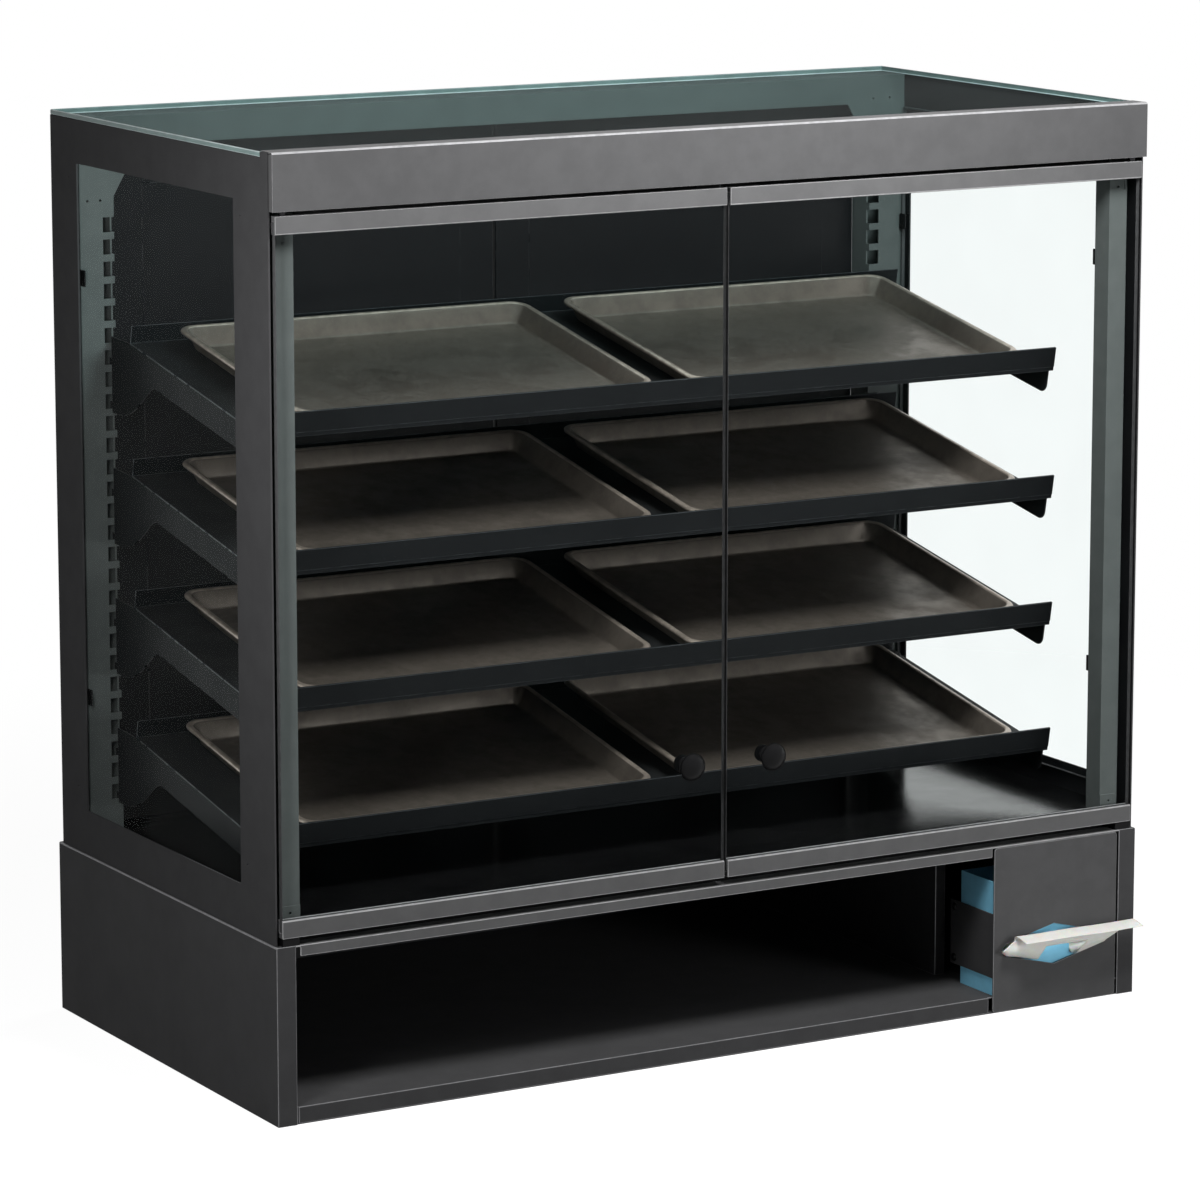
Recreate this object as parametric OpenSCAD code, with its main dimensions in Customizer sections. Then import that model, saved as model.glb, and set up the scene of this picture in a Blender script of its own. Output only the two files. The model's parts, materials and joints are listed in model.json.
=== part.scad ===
// Countertop bakery display case: an open storage base with a tissue dispenser carries a glazed
// cabinet with two hinged front doors, two rear doors, four sloping shelves and eight sheet pans.
// Millimetres. The origin is the centre of the underside, +Z up, and the front faces -Y.

/* [Base cabinet] */
// Width over the base ends
base_w = 1140; // [1120:10:1300]
// Depth of the base, front to back
base_d = 574; // [560:2:640]
// Height of the base
base_h = 202; // [196:2:240]
// Thickness of the folded steel sheets
sheet_t = 2; // [1.6:0.1:2.4]
// Thickness of the bottom pan
pan_t = 1.5; // [1:0.1:1.8]
// Width of the front and rear returns of the base ends
base_return = 23.5; // [20:0.5:30]
// Height of the front flange under the base top
top_flange_h = 12.5; // [10:0.5:20]
// Height of the storage floor above the counter
floor_h = 20.5; // [16:0.5:26]
// Gap between the left return and the front flange of the base top
flange_gap = 5.5; // [3:0.5:8]
// Distance that the bay divider stops short of the front
divider_setback = 118; // [100:2:150]

/* [Tissue dispenser] */
// Width of the dispenser front panel
dispenser_w = 175; // [170:1:190]
// Width of the open joint between the dispenser front panel and the right base end
dispenser_gap = 3; // [1.5:0.5:4]
// Distance of the middle of the hole and of the carton to the left of the middle of the panel
hole_shift = 1.5; // [0:0.5:4]
// Width of the pulling hole, point to point
hole_w = 150; // [130:2:156]
// Height of the pulling hole
hole_h = 49; // [40:1:60]
// Height of the middle of the pulling hole above the counter
hole_z = 75; // [70:1:90]
// Width of the tissue carton
box_w = 166; // [150:1:170]
// Depth of the tissue carton
box_d = 70; // [60:1:80]
// Height of the tissue carton
box_h = 138; // [125:1:150]
// Thickness of the carton board
board_t = 1.2; // [1:0.1:2]
// Width of the middle web of the carton front, between its two openings
web_w = 50; // [40:1:60]
// Height of the stack of tissues left in the carton
stack_h = 70; // [50:1:100]
// Height of the strap that holds the carton
strap_h = 78; // [60:1:90]
// Height of the lower edge of the strap above the counter
strap_z = 42; // [36:1:48]
// Depth of the strap sides, front to back
strap_reach = 91; // [84:1:98]
// Width of the pulled tissue
tissue_w = 169; // [150:1:180]
// Distance that the pulled tissue stands out in front of the panel
tissue_reach = 33; // [25:1:40]
// Distance of the middle of the pulled tissue to the right of the middle of the hole
tissue_shift = 22.5; // [10:0.5:24]
// Height of the top edge of the pulled tissue above the middle of the hole
tissue_top = 19; // [14:1:24]

/* [Upper cabinet] */
// Height of the whole case
overall_h = 1067; // [1065:1:1160]
// Distance that each side panel stands inside the base end
side_inset = 2; // [1:0.5:4]
// Distance of the side panel front edge behind the base front
panel_front = 6; // [4:0.5:8]
// Distance of the side panel rear edge inside the base back
panel_back = 8; // [6:0.5:12]
// Thickness of the top glass
top_glass_t = 6; // [4:0.5:8]
// Thickness of the side glasses
side_glass_t = 5; // [4:0.5:6]
// Distance from the front edge of a side panel to its window
window_front = 84; // [74:1:100]
// Distance from the rear edge of a side panel to its window
window_back = 70; // [68:1:80]
// Distance from the top edge of a side panel to its window
window_top = 50; // [40:1:60]
// Distance from the bottom edge of a side panel to its window
window_bottom = 52.5; // [46:0.5:60]
// Overlap of the side glass on the panel round the window
glass_lap = 10; // [8:0.5:12]
// Height of the deck above the base top
deck_h = 20; // [16:1:26]
// Height of the fascia
fascia_h = 63.5; // [56:0.5:72]
// Distance that the fascia stands in front of the base
fascia_proud = 3; // [3:0.5:6]
// Depth of the fascia top and of the front header
header_d = 28; // [26:1:36]
// Length of the raised tab at the front of each side panel
tab_l = 19; // [12:1:22]
// Width of the front posts
front_post_w = 24.5; // [20:0.5:30]
// Depth of the front posts
front_post_d = 28; // [18:1:30]
// Gap between a front post and the side panel
front_post_gap = 10; // [8:0.5:14]
// Distance of the front post faces behind the side panel front edge
front_post_back = 14; // [14:0.5:18]
// Distance of the upper small hole of a front post below the fascia
post_hole_drop = 36; // [30:1:42]

/* [Rear frame] */
// Width of the rear posts
rear_post_w = 50.5; // [46:0.5:56]
// Distance of the rear post faces in front of the rear edge of the side panels
rear_post_d = 56; // [52:1:64]
// Height of the back header
header_h = 34; // [28:1:44]
// Height of the slanted corner under the back header
gusset_h = 58; // [40:1:70]
// Width of the slanted corner under the back header
gusset_w = 33; // [20:1:40]
// Distance between neighbouring hook slots
slot_pitch = 25.6; // [25:0.1:26]
// Height of a hook slot
slot_h = 17.4; // [16.5:0.1:18]
// Width of a hook slot
slot_w = 13.5; // [10:0.5:16]
// Height of the top edge of the highest slot above the deck
slot_top = 722.4; // [720:0.2:730]
// Depth of the rear posts, front to back
rear_post_web = 40; // [34:1:44]
// Diameter of the small holes in the posts and panels
pin_hole_d = 3; // [2:0.2:4]
// Distance of the upper pair of small holes below the back header
pair_hole_drop = 62; // [60:1:70]
// Distance of the upper small hole at the side panel below the back header
edge_hole_drop = 94; // [86:1:110]
// Height of the lower small hole of a rear post above the deck
low_hole_rise = 66; // [40:1:80]

/* [Front doors] */
// Height of the top and bottom door rails
rail_h = 20; // [16:0.5:26]
// Depth of the door rails
rail_d = 12; // [10:0.5:13]
// Thickness of the door glass
door_glass_t = 6; // [5:0.5:7]
// Gap between the two doors at their rails
door_gap = 4.5; // [3:0.5:8]
// Gap between a door rail and the side panel
door_side_gap = 3.5; // [3:0.5:6]
// Gap between the base top and the bottom rails
door_foot_gap = 9; // [7:0.5:12]
// Gap between the top rails and the fascia
door_head_gap = 5; // [4:0.5:8]
// Distance that the door stop hangs below the front header
door_stop_h = 13; // [10:0.5:16]
// Length of the door catches
catch_l = 30; // [24:1:36]
// Distance of the door pivot from the outer end of its rail
pivot_inset = 11; // [8:0.5:11]
// Radius of the door pivot pins
pivot_r = 4; // [3:0.25:4.5]
// Radius of the door knobs
knob_r = 16.2; // [12:0.2:20]
// Distance of the door knobs from the middle of the case
knob_x = 53.5; // [40:0.5:70]
// Height of the door knobs above the base top
knob_z = 146; // [120:1:200]
// Distance that the knobs stand out in front of the glass
knob_reach = 27; // [22:0.5:32]

/* [Rear doors] */
// Thickness of the rear doors
rear_door_t = 14; // [12:0.5:16]
// Distance of the rear door fronts behind the faces of the rear posts
rear_door_setback = 32; // [31:0.5:34]
// Height of the sill before the rear doors
sill_h = 6; // [5:0.5:10]
// Distance of the rear door pulls from the middle of the case
rear_pull_x = 31.5; // [30:0.5:45]
// Gap between a rear door and the rear post
rear_door_gap = 4; // [4:0.5:6]
// Radius of the rear door pins
rear_pin_r = 3; // [2.5:0.25:3.5]
// Height of the rear door pulls
rear_pull_h = 90; // [60:2:120]

/* [Shelves] */
// Slope of the shelves
shelf_slope = 10.4; // [8:0.2:12]
// Depth of a shelf along its slope
shelf_l = 349; // [345:1:360]
// Distance of the shelf front edge behind the side panel front edge
shelf_front = 109; // [104:1:114]
// Thickness of the shelf sheets
shelf_t = 1.5; // [1:0.1:2]
// Height of the front lip above the shelf
lip_h = 29; // [26:0.5:34]
// Height of the plain hem at the foot of the lip
hem_h = 5; // [3:0.5:8]
// Height of the rear upstand above the shelf
upstand_h = 22; // [16:0.5:28]
// Height of a shelf arm under the shelf
arm_h = 31; // [26:0.5:36]
// Thickness of a shelf arm
arm_t = 2; // [1.5:0.1:3]
// Distance of the outer face of an arm from the inner edge of the rear post
arm_inset = 6; // [5.5:0.5:9]
// Radius of the lower front corner of an arm
arm_corner = 11; // [6:0.5:14]
// Drop of the rear end of an arm below its lowest hook seat
arm_foot = 5; // [3:0.5:8]

/* [Sheet pans] */
// Width of a sheet pan
tray_w = 454; // [440:1:466]
// Depth of a sheet pan
tray_l = 327; // [310:1:329]
// Height of a sheet pan
tray_h = 24; // [18:1:26]
// Thickness of the pan metal
tray_t = 1.2; // [1:0.1:2]
// Width of the rolled rim of a pan
rim_w = 7; // [5:0.5:9]
// Height of the rolled rim of a pan
rim_h = 5; // [3:0.5:6]
// Corner radius of a pan
tray_r = 22; // [14:1:30]
// Distance between the two pans on a shelf
tray_gap = 48; // [30:2:60]

/* [Hidden] */
// Clearance between pieces of different bodies that lie on or beside each other
play = 0.3;
// Radial clearance of a pin in its bore
fit = 0.05;
// Overlap of joined shapes of one solid
join = 0.01;
SHELVES = 4;
SIDES = [-1, 1];

base_x = base_w / 2;
base_y = base_d / 2;
front_y = -base_y;
inner_x = base_x - sheet_t;
return_x = base_x - base_return;
top_z0 = base_h - sheet_t;

// The dispenser stands beside the right return of the base
divider_gap = 2;
dispenser_x1 = return_x - dispenser_gap;
dispenser_x0 = dispenser_x1 - dispenser_w;
divider_x1 = dispenser_x0 - divider_gap;
divider_x0 = divider_x1 - sheet_t;
dispenser_mid = (dispenser_x0 + dispenser_x1) / 2;
hole_x = dispenser_mid - hole_shift;
strap_t = 1.5;
strap_x0 = hole_x - box_w / 2 - strap_t - play;
strap_x1 = hole_x + box_w / 2 + strap_t + play;
box_y0 = front_y + sheet_t + strap_t + play;
box_y1 = box_y0 + box_d;
box_z0 = floor_h;

side_x = base_x - side_inset;
panel_in_x = side_x - sheet_t;
panel_y0 = front_y + panel_front;
panel_y1 = base_y - panel_back;
panel_z1 = overall_h - top_glass_t - 1;
window_y0 = panel_y0 + window_front;
window_y1 = panel_y1 - window_back;
window_z0 = base_h + window_bottom;
window_z1 = panel_z1 - window_top;
deck_z = base_h + deck_h;
glass_y0 = panel_y0 + tab_l;

fascia_y0 = front_y - fascia_proud;
fascia_z0 = overall_h - fascia_h;
fascia_z1 = overall_h;
fascia_x = side_x - 1.2;
head_y0 = fascia_y0 + sheet_t + play;
head_x = fascia_x - sheet_t - 0.5;
head_y1 = fascia_y0 + header_d;

post_face_y = panel_y0 + front_post_back;
post_x1 = panel_in_x - front_post_gap;
post_x0 = post_x1 - front_post_w;

rear_y = panel_y1 - rear_post_d;
rear_in_x = panel_in_x - rear_post_w;
header_z0 = panel_z1 - header_h;

function slot_z1(i) = deck_z + slot_top - i * slot_pitch;
function slot_z0(i) = slot_z1(i) - slot_h;
slots_per_shelf = 6;
first_hook = 6;
slot_count = first_hook + slots_per_shelf * (SHELVES - 1) + 3;
slot_x1 = rear_in_x + slot_w + 0.5;

// Front doors
rail_y0 = front_y;
rail_y1 = rail_y0 + rail_d;
pane_y = (rail_y0 + rail_y1) / 2;
door_x1 = panel_in_x - door_side_gap;
door_x0 = door_gap / 2;
door_z0 = base_h + door_foot_gap;
door_z1 = fascia_z0 - door_head_gap;
pane_lap = rail_h - 6;
pane_play = 0.15;
pivot_x = door_x1 - pivot_inset;
block_h = 12;
block_w = 2 * pivot_r + 12;
catch_x0 = 5;
catch_x1 = catch_x0 + catch_l;
knob_hole_r = 4.5;
knob_neck_r = 4.2;

// Rear doors
rear_door_y0 = rear_y + rear_door_setback;
rear_door_y1 = rear_door_y0 + rear_door_t;
rear_door_y = (rear_door_y0 + rear_door_y1) / 2;
rear_door_x1 = rear_in_x - rear_door_gap;
rear_door_x0 = 1.5;
rear_door_z0 = deck_z + 3;
rear_door_z1 = header_z0 - 2.5;
rear_pivot_x = rear_door_x1 - 6.5;
skin_t = 1.5;

// Shelves hang by their arms in the slots of the rear posts
hook_seat = 1.4;
hook_h = 8;
hook_tail = 7;
arm_x1 = rear_in_x + arm_inset;
arm_x0 = arm_x1 - arm_t;
lip_y = panel_y0 + shelf_front;
lip_s = lip_y / cos(shelf_slope);
shelf_back_s = lip_s + shelf_l;
function shelf_z(k) = slot_z0(first_hook + slots_per_shelf * k) - hook_seat;
function tilt(s, n) = [s * cos(shelf_slope) - n * sin(shelf_slope),
                       s * sin(shelf_slope) + n * cos(shelf_slope)];
function bezier(a, b, c, d, n) = [for (i = [0:n]) let (t = i / n, u = 1 - t)
    u * u * u * a + 3 * u * u * t * b + 3 * u * t * t * c + t * t * t * d];
function arc(c, r, a0, a1, n) = [for (i = [0:n]) c + r * [cos(a0 + (a1 - a0) * i / n),
                                                          sin(a0 + (a1 - a0) * i / n)]];

tray_s0 = lip_s + 1.5 * shelf_t + play;
tray_n0 = shelf_t + play;

$fn = 48;

charcoal = "#3b3c3e";
dark = "#26282a";
black = "#15171a";
pane = [0.55, 0.75, 0.72, 0.35];

// A box between two corners
module slab(lo, hi) {
    translate(lo) cube(hi - lo);
}

// The same shape on the left side, or mirrored to the right side
module on_side(side) {
    if (side < 0) children();
    else mirror([1, 0, 0]) children();
}

// A flat rectangle with round corners, centred
module round_rect(w, l, r) {
    square([w - 2 * r, l], center = true);
    square([w, l - 2 * r], center = true);
    for (x = SIDES, y = SIDES) translate([x * (w / 2 - r), y * (l / 2 - r)]) circle(r);
}

// Draws an outline of Y and Z points as a plate between two X positions
module side_plate(x0, x1) {
    translate([x0, 0, 0]) rotate([90, 0, 90]) linear_extrude(x1 - x0) children();
}

// Draws an outline of X and Z points as a plate between two Y positions
module front_plate(y0, y1) {
    translate([0, y1, 0]) rotate([90, 0, 0]) linear_extrude(y1 - y0) children();
}

module base_pan() {
    color(dark) slab([-inner_x, front_y + sheet_t, 0], [inner_x, base_y - sheet_t, pan_t]);
}

// A base end: outer wall, front and rear returns and a top flange, with a bevelled top edge
module base_end(side) {
    bevel = 1.5;
    color(charcoal) on_side(side) difference() {
        union() {
            slab([-base_x, front_y, 0], [-inner_x, base_y, base_h]);
            slab([-base_x, front_y, 0], [-return_x, front_y + sheet_t, base_h]);
            slab([-base_x, base_y - sheet_t, 0], [-return_x, base_y, base_h]);
            slab([-base_x, front_y, top_z0], [-return_x, base_y, base_h]);
        }
        translate([-base_x, 0, base_h]) rotate([0, 45, 0])
            cube([bevel, base_d + 2, bevel], center = true);
    }
}

// The base top, with a front flange over the storage bay
module base_top() {
    color(charcoal) {
        slab([-return_x, front_y, top_z0], [return_x, base_y - sheet_t, base_h]);
        slab([-return_x + flange_gap, front_y, base_h - top_flange_h],
             [divider_x1 - 1, front_y + sheet_t, base_h]);
    }
}

// The storage floor with front and rear flanges that stand on the bottom pan
module storage_floor() {
    color(charcoal) {
        slab([-inner_x, front_y + sheet_t, floor_h - sheet_t],
             [inner_x, base_y - 2 * sheet_t, floor_h]);
        slab([-return_x + 1.5, front_y, pan_t],
             [divider_x0 - 2, front_y + sheet_t, floor_h]);
        slab([-inner_x, base_y - 3 * sheet_t, pan_t],
             [inner_x, base_y - 2 * sheet_t, floor_h]);
        slab([-inner_x, front_y + sheet_t, pan_t],
             [-return_x + 1.5 + sheet_t, front_y + 2 * sheet_t, floor_h]);
    }
}

module base_back() {
    color(dark) slab([-inner_x, base_y - 2 * sheet_t, pan_t],
                     [inner_x, base_y - sheet_t, top_z0]);
}

// The upright between the storage bay and the dispenser bay, with a stiffening fold
module bay_divider() {
    fold = 12;
    y0 = front_y + divider_setback;
    color(charcoal) {
        slab([divider_x0, y0, floor_h], [divider_x1, base_y - 2 * sheet_t, top_z0]);
        slab([divider_x0, y0, floor_h], [divider_x1 + fold, y0 + sheet_t, top_z0]);
    }
}

// Pan head screws that hold the base back to the rear returns
module back_screws() {
    color(dark) for (side = SIDES, z = [base_h * 0.15, base_h * 0.5, base_h * 0.85])
        translate([side * (base_x - base_return / 2), base_y, z]) rotate([-90, 0, 0])
            cylinder(h = 1.8, r = 4);
}

// The long hexagon of the pulling hole
module hole_outline() {
    polygon([[-hole_w / 2, 0], [-hole_w / 2 + 8, 8], [0, hole_h / 2],
             [hole_w / 2 - 8, 8], [hole_w / 2, 0], [hole_w / 2 - 8, -8],
             [0, -hole_h / 2], [-hole_w / 2 + 8, -8]]);
}

module dispenser_front() {
    r = 4;
    fold = 14;
    z1 = top_z0 - play;
    color(charcoal) {
        difference() {
            front_plate(front_y, front_y + sheet_t)
                translate([dispenser_mid, (pan_t + z1) / 2])
                    round_rect(dispenser_w, z1 - pan_t, r);
            front_plate(front_y - 1, front_y + sheet_t + 1)
                translate([hole_x, hole_z]) hole_outline();
        }
        slab([dispenser_x1 - sheet_t, front_y + join, floor_h],
             [dispenser_x1, front_y + fold, z1 - r]);
        slab([dispenser_x1 - sheet_t, front_y + fold - sheet_t, floor_h],
             [return_x - play, front_y + fold, z1 - r]);
    }
}

// The strap holds the carton: folded in behind the panel and screwed to the right base end
module carton_strap() {
    fold = 10;
    y0 = front_y + sheet_t;
    y1 = y0 + strap_reach;
    z1 = strap_z + strap_h;
    color(dark) {
        for (x = [strap_x0, strap_x1 - strap_t])
            slab([x, y0, strap_z], [x + strap_t, y1, z1]);
        slab([strap_x0, box_y1 + play, strap_z], [strap_x1, box_y1 + play + strap_t, z1]);
        slab([strap_x0, y0, strap_z], [strap_x0 + fold, y0 + strap_t, strap_z + 12]);
        slab([strap_x1 - fold, y0, strap_z], [strap_x1, y0 + strap_t, strap_z + 12]);
        slab([strap_x1 - strap_t, y1 - strap_t, strap_z], [inner_x, y1, z1]);
    }
}

// Two dome head screws through the rear corners of the strap
module strap_screws() {
    y = front_y + sheet_t + strap_reach - 8;
    color(black) for (z = [strap_z + 8, strap_z + strap_h - 8])
        translate([strap_x0, y, z]) rotate([0, -90, 0]) cylinder(h = 3, r = 5);
}

// The tissue carton: open at the top, with two openings in its front beside a middle web
module tissue_carton() {
    x0 = hole_x - box_w / 2;
    x1 = hole_x + box_w / 2;
    color("#5aa5cf") difference() {
        slab([x0, box_y0, box_z0], [x1, box_y1, box_z0 + box_h]);
        slab([x0 + board_t, box_y0 + board_t, box_z0 + board_t],
             [x1 - board_t, box_y1 - board_t, box_z0 + box_h + 1]);
        for (side = SIDES) slab([hole_x + side * (web_w + hole_w) / 4 - (hole_w - web_w) / 4,
                                 box_y0 - 1, hole_z - hole_h * 0.3],
                                [hole_x + side * (web_w + hole_w) / 4 + (hole_w - web_w) / 4,
                                 box_y0 + board_t + 1, hole_z + hole_h * 0.3]);
    }
}

module tissue_stack() {
    side_play = 3;
    color("#e6e2da")
        slab([hole_x - box_w / 2 + side_play, box_y0 + board_t + 14, box_z0 + board_t],
             [hole_x + box_w / 2 - side_play, box_y1 - board_t - 1,
              box_z0 + board_t + stack_h]);
}

// The pulled tissue: its two tails come out of the carton, it rises before the hole, and its
// top is folded forwards
module tissue_sheet() {
    rise_t = 8;
    flap_t = 3;
    tail_t = 7;
    tail_in = web_w / 2 + 6;
    tail_out = hole_w / 2 - 6;
    tail_z = hole_z - 5;
    x0 = hole_x + tissue_shift - tissue_w / 2;
    y0 = front_y - tissue_reach;
    y1 = front_y - 6;
    y2 = y1 - rise_t;
    top_z = hole_z + tissue_top;
    color("#e6e2da") {
        side_plate(x0, x0 + tissue_w)
            polygon(concat(
                bezier([y1, tail_z], [y1 - 4, tail_z - 3], [y2, tail_z - 2], [y2, tail_z + 8], 5),
                bezier([y2 + 1, top_z - flap_t - 3], [y2, top_z - flap_t], [y0 + 6, top_z - flap_t],
                       [y0, top_z - flap_t - 1], 4),
                bezier([y0, top_z - 1], [y0 + 8, top_z], [y1 - 4, top_z + 1], [y1, top_z - 4], 5)));
        for (side = SIDES) translate([hole_x, 0, 0]) mirror([side > 0 ? 0 : 1, 0, 0])
            slab([tail_in, y1 - join, tail_z],
                 [tail_out, box_y0 + board_t + 13.5, tail_z + tail_t]);
    }
}

// The deck: a glossy floor on a folded rim, with a sill before the rear doors and holes for
// their lower pins
module deck() {
    x1 = panel_in_x - play;
    y0 = post_face_y;
    door_swing_r = norm([rear_door_x1 - rear_pivot_x, rear_door_y - rear_door_y0]);
    sill_y = rear_door_y - door_swing_r - 2 * play;
    color(black) difference() {
        union() {
            slab([-x1, y0, deck_z - sheet_t], [x1, panel_y1 - sheet_t, deck_z]);
            slab([-x1, y0, base_h], [x1, y0 + sheet_t, deck_z]);
            slab([-x1, panel_y1 - 2 * sheet_t, base_h], [x1, panel_y1 - sheet_t, deck_z]);
            for (side = SIDES) on_side(side)
                slab([-x1, y0, base_h], [-x1 + sheet_t, panel_y1 - sheet_t, deck_z]);
            slab([-rear_in_x + play, sill_y - sheet_t, deck_z - sheet_t],
                 [rear_in_x - play, sill_y, deck_z + sill_h]);
        }
        for (side = SIDES)
            translate([side * rear_pivot_x, rear_door_y, deck_z - sheet_t - 1])
                cylinder(h = sheet_t + 2, r = rear_pin_r + fit);
    }
}

// A side panel: a steel frame round a window, with a raised tab beside the fascia
module side_panel(side) {
    hole_r = pin_hole_d / 2;
    color(dark) on_side(side) side_plate(-side_x, -panel_in_x) difference() {
        union() {
            translate([panel_y0, base_h]) square([panel_y1 - panel_y0, panel_z1 - base_h]);
            translate([panel_y0, base_h]) square([tab_l - 1, overall_h - 1 - base_h]);
        }
        translate([window_y0, window_z0])
            square([window_y1 - window_y0, window_z1 - window_z0]);
        for (y = [window_y0 - 17, window_y1 + 22], z = [window_z0 + 25, window_z1 - 17])
            translate([y, z]) circle(hole_r);
    }
}

module side_glass(side) {
    x0 = panel_in_x - play - side_glass_t;
    color(pane) on_side(side)
        slab([-panel_in_x + play, window_y0 - glass_lap, window_z0 - glass_lap],
             [-x0, window_y1 + glass_lap, window_z1 + glass_lap]);
}

// Clips that press the side glasses on the panels, four on each side
module glass_clips() {
    w = 19;
    t = 1.8;
    reach = glass_lap + 3;
    seat = play + side_glass_t + play;
    rear_foot = rear_y - window_y1 - glass_lap - play;
    rise = (window_z1 - window_z0) * 0.176;
    color(black) for (side = SIDES) on_side(side) for (z = [window_z0 + rise, window_z1 - rise])
        for (edge = [[window_y0, 1, 12], [window_y1, 0, rear_foot]])
            translate([-panel_in_x, edge[0], z]) mirror([0, edge[1], 0]) {
                slab([0, glass_lap + play, -w / 2], [t, glass_lap + edge[2], w / 2]);
                slab([0, glass_lap + play, -w / 2], [seat + t, glass_lap + play + t, w / 2]);
                slab([seat, glass_lap + play + t - reach, -w / 2],
                     [seat + t, glass_lap + play + t, w / 2]);
            }
}

// A front post: a folded channel with a foot plate, which stands on the deck beside the door
module front_post(side) {
    slit_w = 1;
    slit_h = 14;
    slit_drop = 26;
    foot_h = 20;
    foot_t = 1.2;
    z1 = fascia_z0;
    flange_y = post_face_y + front_post_d;
    color("#4d5150") on_side(side) difference() {
        union() {
            slab([-post_x1, post_face_y, deck_z], [-post_x0, post_face_y + sheet_t, z1]);
            slab([-post_x1, post_face_y, deck_z], [-post_x1 + sheet_t, flange_y, z1]);
            slab([-post_x0 - sheet_t, post_face_y, deck_z], [-post_x0, flange_y, z1]);
            slab([-panel_in_x, flange_y - sheet_t, deck_z],
                 [-post_x1 + sheet_t, flange_y, z1]);
            slab([-post_x1 + 3, post_face_y - foot_t, deck_z],
                 [-post_x0, post_face_y + join, deck_z + foot_h]);
        }
        for (z = [deck_z + foot_h * 0.6, z1 - post_hole_drop])
            translate([-(post_x0 + post_x1) / 2, post_face_y - 2, z]) rotate([-90, 0, 0])
                cylinder(h = sheet_t + 3, r = pin_hole_d / 2);
        slab([-post_x1 + 3, post_face_y - 1, z1 - slit_drop - slit_h],
             [-post_x1 + 3 + slit_w, post_face_y + sheet_t + 1, z1 - slit_drop]);
    }
}

// A rear post: a box section whose face carries the hook slots and widens to a slanted corner
module rear_post(side) {
    slot_depth = 7;
    web_d = rear_post_web;
    color("#4d5150") on_side(side) difference() {
        union() {
            front_plate(rear_y, rear_y + sheet_t)
                polygon([[-panel_in_x, deck_z], [-rear_in_x, deck_z],
                         [-rear_in_x, header_z0 - gusset_h],
                         [-rear_in_x + gusset_w, header_z0], [-panel_in_x, header_z0]]);
            slab([-rear_in_x - sheet_t, rear_y, deck_z],
                 [-rear_in_x, rear_y + web_d, header_z0]);
            slab([-panel_in_x, rear_y, deck_z],
                 [-panel_in_x + sheet_t, rear_y + web_d, header_z0]);
            slab([-panel_in_x, rear_y + web_d - sheet_t, deck_z],
                 [-rear_in_x, rear_y + web_d, header_z0]);
        }
        for (i = [0:slot_count - 1])
            slab([-slot_x1, rear_y - 1, slot_z0(i)],
                 [-rear_in_x + 1, rear_y + slot_depth, slot_z1(i)]);
        for (p = [[0.35, header_z0 - pair_hole_drop], [0.67, header_z0 - pair_hole_drop],
                  [0.12, header_z0 - edge_hole_drop], [0.12, deck_z + low_hole_rise]])
            translate([-panel_in_x + p[0] * rear_post_w, rear_y - 1, p[1]]) rotate([-90, 0, 0])
                cylinder(h = sheet_t + 2, r = pin_hole_d / 2);
    }
}

// The back header: a channel that ties the rear posts and carries the top glass
module back_header() {
    x1 = panel_in_x - play;
    y1 = panel_y1 - 2;
    hole_rise = 6;
    color("#4d5150") difference() {
        union() {
            slab([-x1, rear_y, header_z0], [x1, rear_y + sheet_t, panel_z1]);
            slab([-x1, rear_y, panel_z1 - sheet_t], [x1, y1, panel_z1]);
            slab([-x1, rear_y, header_z0], [x1, y1, header_z0 + sheet_t]);
            slab([-x1, y1 - sheet_t, panel_z1 - 10], [x1, y1, panel_z1]);
        }
        for (side = SIDES)
            translate([side * rear_pivot_x, rear_door_y, header_z0 - 1])
                cylinder(h = sheet_t + 2, r = rear_pin_r + fit);
        for (side = SIDES, inset = [22, 46])
            translate([side * (panel_in_x - inset), rear_y - 1, header_z0 + hole_rise])
                rotate([-90, 0, 0]) cylinder(h = sheet_t + 2, r = pin_hole_d / 2);
    }
}

// The front header: a channel behind the fascia that carries the top glass and the door pivots,
// with a stop behind the gap over each door
module front_header() {
    color(dark) difference() {
        union() {
            slab([-head_x, head_y0, fascia_z0], [head_x, head_y0 + sheet_t, panel_z1]);
            slab([-head_x, head_y0, panel_z1 - sheet_t], [head_x, head_y1 + 8, panel_z1]);
            slab([-head_x, head_y0, fascia_z0], [head_x, head_y1, fascia_z0 + sheet_t]);
            for (side = SIDES) on_side(side)
                slab([-post_x0 + play, head_y1 - sheet_t, fascia_z0 - door_stop_h],
                     [-catch_x1 - 1, head_y1, fascia_z0 + join]);
        }
        for (side = SIDES) translate([side * pivot_x, pane_y, fascia_z0 - 1])
            cylinder(h = sheet_t + 2, r = pivot_r + 1);
    }
}

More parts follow.
